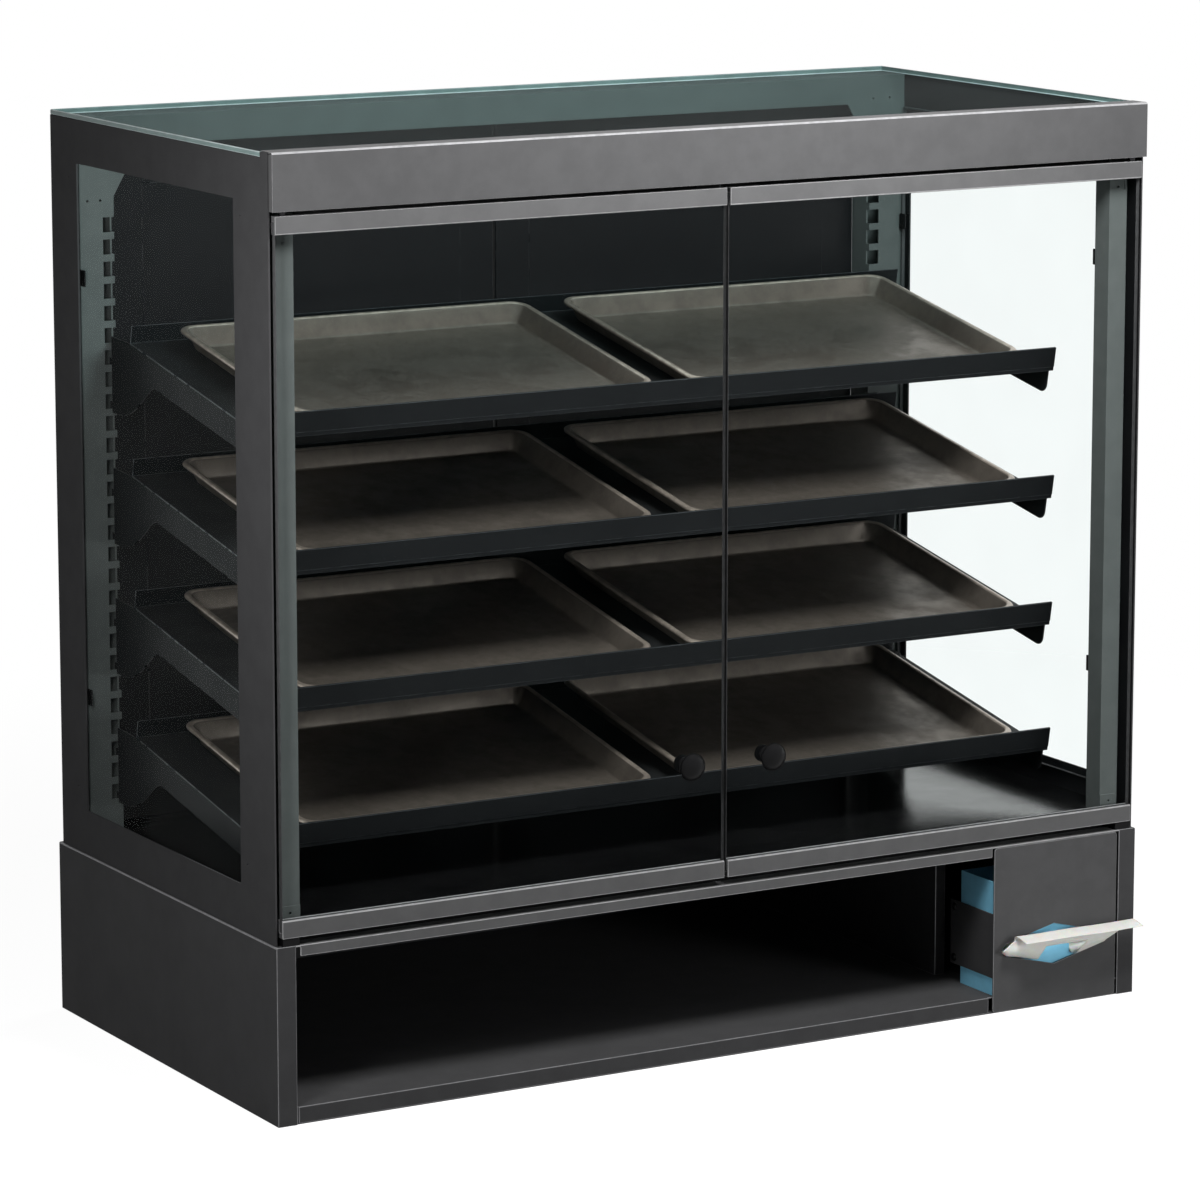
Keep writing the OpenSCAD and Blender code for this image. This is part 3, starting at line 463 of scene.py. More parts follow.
@built_once("_edge")
def edge_material(tree, colours, key):
    """The same coat along a fold or a cut edge: smoother, rubbed thin over the metal, and lighter by the lift as a
    painted highlight where the round catches the light.
    """
    field, _, low, _, _, reflection, lift, bare = COATS[key]
    base = getattr(colours, field)
    rubbed_and_lit = shared(tree, worn_edge, {
        # The lift lightens the coat on the folds: a painted highlight, mixed with the nicks of real wear.
        "Coat": rgba(base, 0.75 * lift), "Worn": rgba(base, lift), "Size": 9 * MM,
    })
    streaks = shared(tree, wipe_streaks, {"Size": 20 * MM, "Low": 0.6 * low, "High": 0.9 * low})
    principled(tree, {
        "Base Color": rubbed_and_lit["Colour"],
        "Metallic": bare,
        "Roughness": streaks["Roughness"],
        "Specular IOR Level": min(1.0, 1.6 * reflection),
    })


# Panes: tint, share of the mirror image that is left
PANES = {"float_glass": ("glass_tint", 0.35), "top_float_glass": ("top_tint", 0.06)}


@built_once()
def glass_material(tree, colours, name):
    """Clear float glass that mirrors only at a flat angle, with faint wiping marks."""
    field, left = PANES[name]
    streaks = shared(tree, wipe_streaks, {"Size": 90 * MM, "Low": 0.015, "High": 0.05})
    smear = ramp(tree, streaks["Mask"], 0.0, 1.0, 0.0, 0.006)
    behind = add(tree, "ShaderNodeNewGeometry").outputs["Backfacing"]
    index = between(tree, behind, MIRROR_INDEX, 1 / MIRROR_INDEX)
    mirror = add(tree, "ShaderNodeFresnel", {"IOR": index})
    factor = calc(tree, "MULTIPLY_ADD", mirror, left, smear, use_clamp=True)
    clear = add(tree, "ShaderNodeBsdfTransparent", {"Color": rgba(getattr(colours, field))})
    gloss = add(tree, "ShaderNodeBsdfPrincipled", {
        "Base Color": (0.02, 0.035, 0.034, 1.0),
        "Roughness": streaks["Roughness"],
        "Specular IOR Level": 0.6,
    })
    surface(tree, add(tree, "ShaderNodeMixShader", {0: factor, 1: clear, 2: gloss}))


@built_once()
def glass_edge_material(tree, colours, field):
    """The ground edge of a pane, where the green of the glass shows."""
    edge = getattr(colours, field)
    grain = shared(tree, powder_grain, {"Grain": 0.7 * MM, "Mottle": 30 * MM})
    tone = ramp(tree, grain["Mottle"], 0.3, 0.7)
    principled(tree, {
        "Base Color": blend_colour(tree, tone, rgba(edge, 0.8), rgba(edge)),
        "Roughness": 0.35,
        "Specular IOR Level": 0.25,
        "Normal": bump(tree, grain["Height"], 0.04 * MM),
    })


# Metals: colour, metallic share, roughness from and to, size of the lines, tone of the blotches
METALS = {
    "pan_metal": ("pan", 0.55, 0.3, 0.5, 1.2 * MM, 0.72),
    "turned_steel": ("steel", 1.0, 0.2, 0.34, 0.6 * MM, 0.85),
}


@built_once()
def metal_material(tree, colours, name):
    """Rolled or turned metal with blotches of use."""
    field, metallic, low, high, size, darker = METALS[name]
    base = getattr(colours, field)
    lines = shared(tree, rolled_lines, {"Size": size, "Low": low, "High": high})
    principled(tree, {
        "Base Color": blend_colour(tree, lines["Mask"], rgba(base), rgba(base, darker)),
        "Metallic": metallic,
        "Roughness": lines["Roughness"],
        "Normal": bump(tree, lines["Height"], 0.03 * MM),
    })


@built_once()
def rim_material(tree, colours, _):
    """The rolled rim, rubbed bright by handling and lighter still as a painted highlight."""
    base = colours.pan
    # Rim colour 1.7 to 2.8 times the pan: rubbed metal with a painted highlight.
    rubbed_and_lit = shared(tree, worn_edge, {
        "Coat": rgba(base, 1.7), "Worn": rgba(base, 2.8), "Size": 14 * MM,
    })
    principled(tree, {"Base Color": rubbed_and_lit["Colour"], "Metallic": 0.55, "Roughness": 0.3})


# Papers: colour, roughness, depth of the fibres, tone of the clouds, light that comes through
PAPERS = {
    "printed_card": ("card", 0.5, 0.04 * MM, 0.93, 0.0),
    "waxed_tissue": ("tissue", 0.62, 0.08 * MM, 0.94, 0.25),
}


@built_once()
def paper_material(tree, colours, name):
    """Card or tissue with its fibres."""
    field, rough, depth, varied, lets_light = PAPERS[name]
    base = getattr(colours, field)
    fibre = shared(tree, paper_fibre, {"Size": 1.0 * MM})
    principled(tree, {
        "Base Color": blend_colour(tree, fibre["Tone"], rgba(base, varied), rgba(base)),
        "Roughness": rough,
        "Specular IOR Level": 0.3,
        "Subsurface Weight": lets_light,
        "Subsurface Scale": 1.5 * MM,
        "Normal": bump(tree, fibre["Height"], depth),
    })


# Meshes

def new_object(name, mesh):
    obj = bpy.data.objects.new(name, mesh)
    bpy.context.scene.collection.objects.link(obj)
    return obj


def clean_copy(node, name, *materials):
    """A copy of a CAD node with its doubles merged, its flat faces joined and new materials."""
    if node not in frame["nodes"]:
        raise RuntimeError(f"The frame has no node named {node}")
    mesh = frame["nodes"][node].data.copy()
    mesh.name = name
    mesh.materials.clear()
    for material in materials:
        mesh.materials.append(material)
    work = bmesh.new()
    work.from_mesh(mesh)
    bmesh.ops.remove_doubles(work, verts=work.verts, dist=MERGE)
    bmesh.ops.dissolve_limit(
        work, angle_limit=FLAT_ANGLE, verts=work.verts, edges=work.edges,
        use_dissolve_boundaries=False,
    )
    for face in work.faces:
        face.smooth = True
        face.material_index = 0
    work.to_mesh(mesh)
    work.free()
    for attribute in ("custom_normal", "UVMap"):
        if attribute in mesh.attributes:
            mesh.attributes.remove(mesh.attributes[attribute])
    return new_object(name, mesh)


def settle(obj):
    """Turns an object with modifiers into its plain mesh."""
    depsgraph = bpy.context.evaluated_depsgraph_get()
    mesh = bpy.data.meshes.new_from_object(obj.evaluated_get(depsgraph))
    mesh.name = obj.name
    obj.modifiers.clear()
    obj.data = mesh
    return obj


def round_edges(obj, radius, segments=2):
    """Rounds the folds and gives the round faces the second material."""
    bevel = obj.modifiers.new("fold", "BEVEL")
    bevel.width, bevel.segments = radius, segments
    bevel.limit_method, bevel.angle_limit = "ANGLE", EDGE_ANGLE
    bevel.miter_outer, bevel.material = "MITER_ARC", 1
    bevel.use_clamp_overlap = bevel.harden_normals = True
    return settle(obj)


def belong(obj, node_names, body=None):
    """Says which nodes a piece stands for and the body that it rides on."""
    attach(obj, body or BODY_OF[node_names[0]])
    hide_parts(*node_names)
    return obj


def dress_sheet(context, node, coat, radius=None, tilted=False):
    """Gives a folded sheet its rounded, coated copy with a painted highlight on its slanted faces; a tilted one
    has its painted bright edges on the faces along X alone.
    """
    obj = clean_copy(
        node, f"{node}_coated", coat_material(context, coat), edge_material(context, coat)
    )
    round_edges(obj, radius or context.scene.case_sizes.fold_radius)
    for polygon in obj.data.polygons:
        turned = [abs(part) for part in polygon.normal]
        # Slanted faces, or the side edges of a tilted sheet, take the lifted edge coat as a painted highlight.
        if turned[0] > FACING if tilted else max(turned) < SQUARE_FACE:
            polygon.material_index = 1
    return belong(obj, [node])


def dress_pane(context, node, axis, glass="float_glass", edge=None, arris=None):
    """Gives a pane its clear faces, its cut edges and the ground corners between them.

    Edges and corners that aren't given are shaded by the frame and look like its dark folds.
    """
    shaded = edge_material(context, "dark")
    obj = clean_copy(
        node, f"{node}_pane", glass_material(context, glass), edge or shaded, arris or shaded
    )
    round_edges(obj, context.scene.case_sizes.pane_radius, segments=1)
    for polygon in obj.data.polygons:
        facing = abs(polygon.normal[axis])
        polygon.material_index = 0 if facing > FACING else 2 if facing > ARRIS_FACING else 1
    return belong(obj, [node])


def mesh_from(name, points, faces, materials, indices=None):
    """A smooth mesh with its normals turned outwards."""
    mesh = bpy.data.meshes.new(name)
    mesh.from_pydata([tuple(p) for p in points], [], faces)
    for material in materials:
        mesh.materials.append(material)
    if indices:
        mesh.polygons.foreach_set("material_index", indices)
    work = bmesh.new()
    work.from_mesh(mesh)
    bmesh.ops.remove_doubles(work, verts=work.verts, dist=MERGE)
    bmesh.ops.recalc_face_normals(work, faces=work.faces)
    for face in work.faces:
        face.smooth = True
    work.to_mesh(mesh)
    work.free()
    mesh.set_sharp_from_angle(angle=CREASE_ANGLE)
    return mesh


def rounded_loop(width, depth, radius, steps):
    """Points round a rectangle with round corners, centred."""
    loop = []
    for corner in range(4):
        x = (width / 2 - radius) * (1 if corner in (0, 3) else -1)
        y = (depth / 2 - radius) * (1 if corner in (0, 1) else -1)
        for step in range(steps + 1):
            angle = math.pi / 2 * (corner + step / steps)
            loop.append((x + radius * math.cos(angle), y + radius * math.sin(angle)))
    return loop


def ring_face(row, step, count):
    """The face between two rings of points, each of the same count."""
    first, beside = row * count, (step + 1) % count
    return (first + step, first + beside, first + count + beside, first + count + step)


def lathe(profile, steps):
    """Points and faces of a profile of radius and height turned about Z."""
    points, faces = [], []
    for radius, height in profile:
        for step in range(steps):
            angle = 2 * math.pi * step / steps
            points.append((radius * math.cos(angle), radius * math.sin(angle), height))
    for ring in range(len(profile) - 1):
        faces += [ring_face(ring, step, steps) for step in range(steps)]
    faces.append(tuple(range(steps - 1, -1, -1)))
    faces.append(tuple((len(profile) - 1) * steps + step for step in range(steps)))
    return points, faces


def arc_points(centre, radius, start, end, steps):
    """Points of an arc in its own plane; angles in degrees."""
    angles = [math.radians(start + (end - start) * step / steps) for step in range(steps + 1)]
    return [
        (centre[0] + radius[0] * math.cos(angle), centre[1] + radius[1] * math.sin(angle))
        for angle in angles
    ]


# Geometry nodes

def repeat_tree(name, inputs):
    """A geometry tree with named inputs and a material."""
    inputs = {"Geometry": None, **inputs, "Material": None}
    return new_group(name, inputs, {"Geometry": None}, "GeometryNodeTree")


def end_repeat(tree, start, end, instances):
    """Ends a tree in real geometry with its material."""
    real = add(tree, "GeometryNodeRealizeInstances", {"Geometry": instances})
    return put_out(tree, end, Geometry=add(tree, "GeometryNodeSetMaterial", {
        "Geometry": real, "Material": start["Material"],
    }))


def run_tree(obj, tree, values):
    """Runs a geometry tree on an object with the values of its named inputs."""
    modifier = obj.modifiers.new(tree.name, "NODES")
    modifier.node_group = tree
    for item in tree.interface.items_tree:
        if item.item_type == "SOCKET" and item.in_out == "INPUT" and item.name in values:
            modifier[item.identifier] = values[item.name]
    return settle(obj)


def placed(tree, geometry, **changes):
    """Geometry that is moved, turned or scaled."""
    return add(tree, "GeometryNodeTransform", {"Geometry": geometry, **changes})


def screw_tree():
    """Domed heads with a crossed recess, one on each point, each turned its own way."""
    if made := bpy.data.node_groups.get("screw_heads"):
        return made
    tree, start, end = repeat_tree("screw_heads", {
        "Radius": 0.004, "Rise": 0.002, "Recess": 0.5, "Axis": (0.0, 0.0, 0.0), "Seed": 3,
    })
    ball = add(tree, "GeometryNodeMeshUVSphere", {"Segments": 28, "Rings": 14, "Radius": 1.0})
    lower = add(tree, "GeometryNodeMeshCube", {"Size": (4.0, 4.0, 4.0)})
    cross = add(tree, "GeometryNodeJoinGeometry")
    for turn in (0.0, math.pi / 2):
        bar = add(tree, "GeometryNodeMeshCube", {"Size": (1.0, 0.22, 1.1)})
        bar = placed(tree, bar, Translation=(0.0, 0.0, 1.0), Rotation=(0.0, 0.0, turn))
        feed(tree, cross.inputs[0], bar)
    stretch = vector(tree, start["Recess"], start["Recess"], 1.0)
    cut = add(tree, "GeometryNodeMeshBoolean", {"Mesh 1": ball}, operation="DIFFERENCE")
    feed(tree, cut.inputs["Mesh 2"], placed(tree, lower, Translation=(0.0, 0.0, -2.0)))
    feed(tree, cut.inputs["Mesh 2"], placed(tree, cross, Scale=stretch))
    size = vector(tree, start["Radius"], start["Radius"], start["Rise"])
    turn = add(
        tree, "FunctionNodeRandomValue", {"Max": math.pi, "Seed": start["Seed"]}, data_type="FLOAT"
    )
    spin = add(tree, "FunctionNodeEulerToRotation", {0: vector(tree, z=turn.outputs[1])})
    aim = add(tree, "FunctionNodeEulerToRotation", {0: start["Axis"]})
    heads = add(tree, "GeometryNodeInstanceOnPoints", {
        "Points": add(tree, "GeometryNodeMeshToPoints", {"Mesh": start["Geometry"]}),
        "Instance": placed(tree, cut, Scale=size),
        "Rotation": add(tree, "FunctionNodeRotateRotation", {0: spin, 1: aim}),
    })
    return end_repeat(tree, start, end, heads)


def layer_tree():
    """Folded tissues lying on each other, each a little out of line."""
    tree, start, end = repeat_tree("folded_layers", {
        "Count": 20, "Size": (0.1, 0.1, 0.1), "Foot": (0.0, 0.0, 0.0), "Slip": 0.001, "Seed": 11,
    })
    size = add(tree, "ShaderNodeSeparateXYZ", {0: start["Size"]}).outputs
    pitch = calc(tree, "DIVIDE", size["Z"], start["Count"])
    lift = vector(tree, z=calc(tree, "MULTIPLY", pitch, 0.5))
    line = add(tree, "GeometryNodeMeshLine", {
        "Count": start["Count"],
        "Start Location": add(
            tree, "ShaderNodeVectorMath", {0: start["Foot"], 1: lift}, operation="ADD"
        ),
        "Offset": vector(tree, z=pitch),
    }, mode="OFFSET")
    sheet = add(tree, "GeometryNodeMeshCube", {
        "Size": vector(tree, size["X"], size["Y"], calc(tree, "MULTIPLY", pitch, 0.82)),
        "Vertices X": 7, "Vertices Y": 5, "Vertices Z": 2,
    })
    slip = start["Slip"]
    back = calc(tree, "MULTIPLY", slip, -1.0)
    shift = add(tree, "FunctionNodeRandomValue", {
        0: vector(tree, back, back), 1: vector(tree, slip, slip), "Seed": start["Seed"],
    }, data_type="FLOAT_VECTOR")
    layers = add(tree, "GeometryNodeInstanceOnPoints", {
        "Points": add(tree, "GeometryNodeSetPosition", {"Geometry": line, "Offset": shift}),
        "Instance": sheet,
    })
    return end_repeat(tree, start, end, layers)


def points_object(name, points):
    mesh = bpy.data.meshes.new(name)
    mesh.from_pydata([tuple(p) for p in points], [], [])
    return new_object(name, mesh)


# Pieces

class DISPLAYCASE_OT_base(bpy.types.Operator):
    """Coat the base ends, the base top, the storage floor and the sheets behind them"""

    bl_idname = "display_case.add_base"
    bl_label = "Base cabinet"

    def execute(self, context):
        dress_sheet(context, "base_top", "charcoal")
        # The ends, the storage floor and the divider take the base coat, whose darker colour is painted shade.
        for node in ("base_end_left", "base_end_right", "storage_floor", "bay_divider"):
            dress_sheet(context, node, "base")
        for node in ("base_pan", "base_back"):
            dress_sheet(context, node, "dark")
        return {"FINISHED"}


class DISPLAYCASE_OT_dispenser(bpy.types.Operator):
    """Build the dispenser panel, its strap and the carton with the folded tissues"""

    bl_idname = "display_case.add_dispenser"
    bl_label = "Tissue dispenser"

    def execute(self, context):
        dress_sheet(context, "dispenser_front", "front")
        dress_sheet(context, "carton_strap", "dark")
        card = paper_material(context, "printed_card")
        carton = clean_copy("tissue_carton", "tissue_carton_board", card, card)
        round_edges(carton, 0.35 * MM)
        belong(carton, ["tissue_carton"])
        low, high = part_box("tissue_stack")
        stack = points_object("tissue_stack_layers", [low])
        slip = 0.8 * MM
        run_tree(stack, layer_tree(), {
            "Count": context.scene.case_sizes.tissue_layers,
            "Size": (high.x - low.x - 2 * slip, high.y - low.y - 2 * slip, high.z - low.z),
            "Foot": ((low.x + high.x) / 2, (low.y + high.y) / 2, low.z),
            "Slip": slip,
            "Seed": 11,
            "Material": paper_material(context, "waxed_tissue"),
        })
        belong(stack, ["tissue_stack"])
        return {"FINISHED"}


def opening(name):
    """The middle of an opening that the record states."""
    for space in frame["record"]["physics"]["openings"]:
        if space["name"] == name:
            low, high = (Vector(corner) for corner in space["box_m"])
            return (low + high) / 2
    raise RuntimeError(f"The record has no opening named {name}")


def tissue_section(low, high, panel_y, foot, hole_z):
    """The section of the pulled tissue in Y and Z, from inside the carton to its free edge."""
    front, top = low.y, high.z
    depth = panel_y - front
    rise = top - foot
    corners = [
        (high.y, hole_z - 1.0 * MM),
        (panel_y + 4.0 * MM, foot + 2.2 * MM),
        (panel_y - 1.0 * MM, foot + 0.6 * MM),
        (panel_y - 0.26 * depth, foot + 0.10 * rise),
        (panel_y - 0.38 * depth, foot + 0.34 * rise),
        (panel_y - 0.32 * depth, foot + 0.66 * rise),
        (panel_y - 0.25 * depth, top - 5.0 * MM),
        (panel_y - 0.28 * depth, top - 1.4 * MM),
        (panel_y - 0.40 * depth, top - 0.2 * MM),
        (panel_y - 0.68 * depth, top - 1.8 * MM),
        (front, top - 4.6 * MM),
    ]
    return smooth_line(corners, 4)


def smooth_line(corners, steps):
    """A curve through the corners of a line, as an even row of points."""
    padded = [corners[0], *corners, corners[-1]]
    line = []
    for first, second, third, fourth in zip(padded, padded[1:], padded[2:], padded[3:]):
        for step in range(steps):
            t = step / steps
            line.append(tuple(
                0.5 * (2 * b + (c - a) * t + (2 * a - 5 * b + 4 * c - d) * t ** 2
                       + (3 * b - a - 3 * c + d) * t ** 3)
                for a, b, c, d in zip(first, second, third, fourth)
            ))
    line.append(corners[-1])
    return line


class DISPLAYCASE_OT_tissue(bpy.types.Operator):
    """Build the tissue that is pulled half out of the hole and hangs before the panel"""

    bl_idname = "display_case.add_tissue"
    bl_label = "Pulled tissue"

    def execute(self, context):
        low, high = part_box("tissue_sheet")
        hole = opening("dispenser_hole")
        panel_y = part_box("dispenser_front")[0].y
        flap_width, flat_length, tail_reach = 169 * MM, 80 * MM, 72 * MM
        columns, web_columns, web_share = 84, 16, 0.42
        web_reach = tail_reach * 2 * web_columns / columns
        spread_from, spread_over = 0.33, 0.25
        bulge_middle, bulge_half, bulge_end, bulge_depth = 0.39, 0.17, 0.3, 9 * MM
        dice = random.Random(5)
        ripple = [dice.uniform(-0.5, 0.5) * MM for _ in range(columns + 1)]
        points, faces = [], []
        for column in range(columns + 1):
            across = -1 + 2 * column / columns
            offset = across * tail_reach
            foot = self.foot(hole.z, max(abs(offset), web_reach))
            section = tissue_section(low, high, panel_y, foot, hole.z)
            rows = len(section)
            for row, (y, z) in enumerate(section):
                along = row / (rows - 1)
                spread = min(1.0, max(0.0, (along - spread_from) / spread_over))
                spread = spread * spread * (3 - 2 * spread)
                bulge = math.sqrt(max(0.0, 1 - ((along - bulge_middle) / bulge_half) ** 2))
                bulge *= max(0.0, -across - 1 + bulge_end) / bulge_end
                tail_x = hole.x + offset - bulge_depth * bulge
                flap_x = high.x - flap_width / 2 + across * flap_width / 2
                wave = math.sin(5 * across + 3 * along) * 0.7 * MM * along
                points.append((
                    tail_x + (flap_x - tail_x) * spread,
                    y + (wave * 0.6 + ripple[column] * 0.3) * spread,
                    z + wave * 0.3 * spread,
                ))
        for column in range(columns):
            between_tails = abs(column + 0.5 - columns / 2) < web_columns
            for row in range(rows - 1):
                if between_tails and row < web_share * rows:
                    continue
                corner = column * rows + row
                faces.append((corner, corner + rows, corner + rows + 1, corner + 1))
        paper = paper_material(context, "waxed_tissue")
        mesh = mesh_from("tissue_sheet_cloth", points, faces, [paper])
        tissue = new_object("tissue_sheet_cloth", mesh)
        wall = tissue.modifiers.new("wall", "SOLIDIFY")
        wall.thickness, wall.offset = context.scene.case_sizes.tissue_sheet, 0.0
        belong(settle(tissue), ["tissue_sheet"])
        return {"FINISHED"}

    def foot(self, hole_z, offset):
        """Height at which the tissue lies over the lower edge of the six-sided hole."""
        tip, shoulder, shoulder_rise, half_height = 75 * MM, 67 * MM, 8 * MM, 24.5 * MM
        opened = shoulder_rise + (half_height - shoulder_rise) * (1 - offset / shoulder)
        return hole_z - (tip - offset if offset > shoulder else opened) + 1.4 * MM


class DISPLAYCASE_OT_panels(bpy.types.Operator):
    """Coat the side panels and set their panes, their clips and the top glass"""

    bl_idname = "display_case.add_panels"
    bl_label = "Side panels and glass"

    def execute(self, context):
        for side, sign in SIDES.items():
            panel = dress_sheet(context, f"side_panel_{side}", "dark")
            # The inner faces take the near-black coat of the rear doors as painted shade.
            panel.data.materials.append(coat_material(context, "rear"))
            for polygon in panel.data.polygons:
                if sign * polygon.normal.x < -FACING:
                    polygon.material_index = 2
            dress_pane(context, f"side_glass_{side}", 0)
        edge, arris = (glass_edge_material(context, name) for name in ("glass_edge", "glass_arris"))
        dress_pane(context, "top_glass", 2, "top_float_glass", edge, arris)
        dress_sheet(context, "glass_clips", "plastic", context.scene.case_sizes.fold_radius)
        return {"FINISHED"}


class DISPLAYCASE_OT_frame(bpy.types.Operator):
    """Coat the posts, the headers, the fascia and the deck"""

    bl_idname = "display_case.add_frame"
    bl_label = "Posts, headers and deck"

    def execute(self, context):
        for side in SIDES:
            dress_sheet(context, f"front_post_{side}", "post")
            dress_sheet(context, f"rear_post_{side}", "post")
        coats = {"back_header": "post", "front_header": "dark", "fascia": "fascia", "deck": "gloss"}
        for node, coat in coats.items():
            dress_sheet(context, node, coat)
        return {"FINISHED"}


class DISPLAYCASE_OT_front_doors(bpy.types.Operator):
    """Build the two front doors with their rails, panes, knobs and pins"""

    bl_idname = "display_case.add_front_doors"
    bl_label = "Front doors"

    def execute(self, context):
        for side in SIDES:
            dress_pane(context, f"door_glass_{side}", 1)
            for rail in ("top", "bottom"):
                dress_sheet(context, f"door_{rail}_rail_{side}", "charcoal")
            self.knob(context, side)
            steel = metal_material(context, "turned_steel")
            pins = clean_copy(f"door_pins_{side}", f"door_pins_{side}_turned", steel, steel)
            round_edges(pins, 0.5 * MM)
            belong(pins, [f"door_pins_{side}"])
        for node in ("pivot_blocks", "door_catches"):
            dress_sheet(context, node, "plastic", context.scene.case_sizes.moulded_radius)
        return {"FINISHED"}

    def knob(self, context, side):
        """A turned knob: a flat cap inside, a neck through the glass and a domed head."""
        low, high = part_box(f"door_knob_{side}")
        centre = (low + high) / 2
        head, reach = (high.x - low.x) / 2 / MM, (high.y - low.y) / MM
        front, back = ((high.y - corner.y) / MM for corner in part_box(f"door_glass_{side}"))
        dome, skirt, dome_steps, play = 9.0, 2.5, 12, 0.4
        rim = reach - dome - skirt
        cap, neck, collar, waist = 10.0, 4.2, 9.0, 4.9
        profile = [
            (cap - 1.4, 0.0), (cap - 0.4, 0.4), (cap, 1.1), (cap, back - play),
            (neck, back - play), (neck, front + 0.3),
            (collar, front + 0.3), (collar, front + 2.6), (collar - 0.8, front + 3.3),
            (waist + 0.5, front + 4.6), (waist, front + 7.0),
            (waist + 1.3, rim - 1.4), (head - 1.6, rim - 0.2), (head - 0.4, rim + 0.3),
            (head, rim + 1.1), (head, rim + skirt - 0.8), (head - 0.25, rim + skirt + 0.3),
        ]
        ball = ((head - 1.0) ** 2 + dome ** 2) / (2 * dome)
        start = math.asin((head - 1.0) / ball)
        for step in range(dome_steps):
            angle = start * (1 - step / dome_steps)
            profile.append((ball * math.sin(angle), reach - ball + ball * math.cos(angle)))
        profile.append((0.25, reach))
        points, faces = lathe([(radius * MM, rise * MM) for radius, rise in profile], 48)
        name = f"door_knob_{side}_turned"
        mesh = mesh_from(name, points, faces, [coat_material(context, "plastic")])
        facing_front = Matrix.Rotation(math.pi / 2, 4, "X")
        mesh.transform(Matrix.Translation((centre.x, high.y, centre.z)) @ facing_front)
        belong(new_object(name, mesh), [f"door_knob_{side}"])


class DISPLAYCASE_OT_rear_doors(bpy.types.Operator):
    """Coat the two rear doors and their liners"""

    bl_idname = "display_case.add_rear_doors"
    bl_label = "Rear doors"

    def execute(self, context):
        for side in SIDES:
            dress_sheet(context, f"rear_door_{side}", "rear")
            dress_sheet(context, f"rear_liner_{side}", "rear")
        return {"FINISHED"}


class DISPLAYCASE_OT_shelves(bpy.types.Operator):
    """Coat the four shelves and their arms"""

    bl_idname = "display_case.add_shelves"
    bl_label = "Shelves"

    def execute(self, context):
        radius = context.scene.case_sizes.shelf_radius
        for number in range(1, SHELVES + 1):
            dress_sheet(context, f"shelf_{number}", "shelf", radius, tilted=True)
            dress_sheet(context, f"shelf_arms_{number}", "shelf_arm", radius)
        return {"FINISHED"}


def shelf_tilt():
    """The slope of the shelves, from the axis along which the pans are lifted."""
    lifts = [joint for joint in frame["joints"] if joint["name"].startswith("pan_")]
    if not lifts:
        raise RuntimeError("The frame has no joint that lifts a pan")
    axis = lifts[0]["axis"]
    return math.atan2(-axis[1], axis[2])


class DISPLAYCASE_OT_pans(bpy.types.Operator):
    """Build the eight sheet pans with leaning walls and rolled rims"""

    bl_idname = "display_case.add_pans"
    bl_label = "Sheet pans"

    def execute(self, context):
        slope = shelf_tilt()
        for number in range(1, SHELVES + 1):
            for side in SIDES:
                self.pan(context, f"tray_{number}_{side}", slope)
        return {"FINISHED"}

    def pan(self, context, node, slope):
        sizes = context.scene.case_sizes
        low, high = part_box(node)
        extent = high - low
        spread = math.cos(slope) ** 2 - math.sin(slope) ** 2
        depth = (extent.y * math.cos(slope) - extent.z * math.sin(slope)) / spread
        height = (extent.z * math.cos(slope) - extent.y * math.sin(slope)) / spread
        section, rim_rows = self.section(sizes, height)
        corner_steps, least_radius, drawn_in = 9, 4 * MM, 0.75
        points, faces, indices = [], [], []
        count = 4 * (corner_steps + 1)
        for inset, z in section:
            radius = max(sizes.pan_corner - drawn_in * inset, least_radius)
            loop = rounded_loop(extent.x - 2 * inset, depth - 2 * inset, radius, corner_steps)
            points += [(x, y, z - height / 2) for x, y in loop]
        for row in range(len(section) - 1):
            faces += [ring_face(row, step, count) for step in range(count)]
            indices += [1 if rim_rows[0] <= row < rim_rows[1] else 0] * count
        for row in (0, len(section) - 1):
            faces.append(tuple(row * count + step for step in range(count)))
            indices.append(0)
        metals = [metal_material(context, "pan_metal"), rim_material(context, "pan_rim")]
        mesh = mesh_from(f"{node}_pressed", points, faces, metals, indices)
        mesh.transform(Matrix.Translation((low + high) / 2) @ Matrix.Rotation(slope, 4, "X"))
        belong(new_object(f"{node}_pressed", mesh), [node])

    def section(self, sizes, height):
        """Insets from the rim and heights, from the floor inside over the rim to the underside."""
        metal, bead = sizes.pan_metal, sizes.bead_width
        half, rise = bead / 2, sizes.bead_height / 2
        fillet = 4 * MM
        middle = (bead + sizes.pan_flare + 2 * MM + fillet, metal + fillet)
        inside = arc_points(middle, (-fillet, -fillet), 90, 12, 5)
        crest = [
            (bead + out * MM, height - down * MM)
            for out, down in ((1.6, 3.0), (0.4, 1.2), (-1.0, 0.2))
        ]
        roll = arc_points((half, height - rise), (-half, rise), 90, -150, 12)
        outside = arc_points(middle, (-fillet - metal, -fillet - metal), 12, 90, 5)
        wall_top = [(bead + 0.5 * MM, height - 4.4 * MM)]
        start = len(inside) + 1
        return inside + crest + roll + wall_top + outside, (start, start + len(roll) + 1)


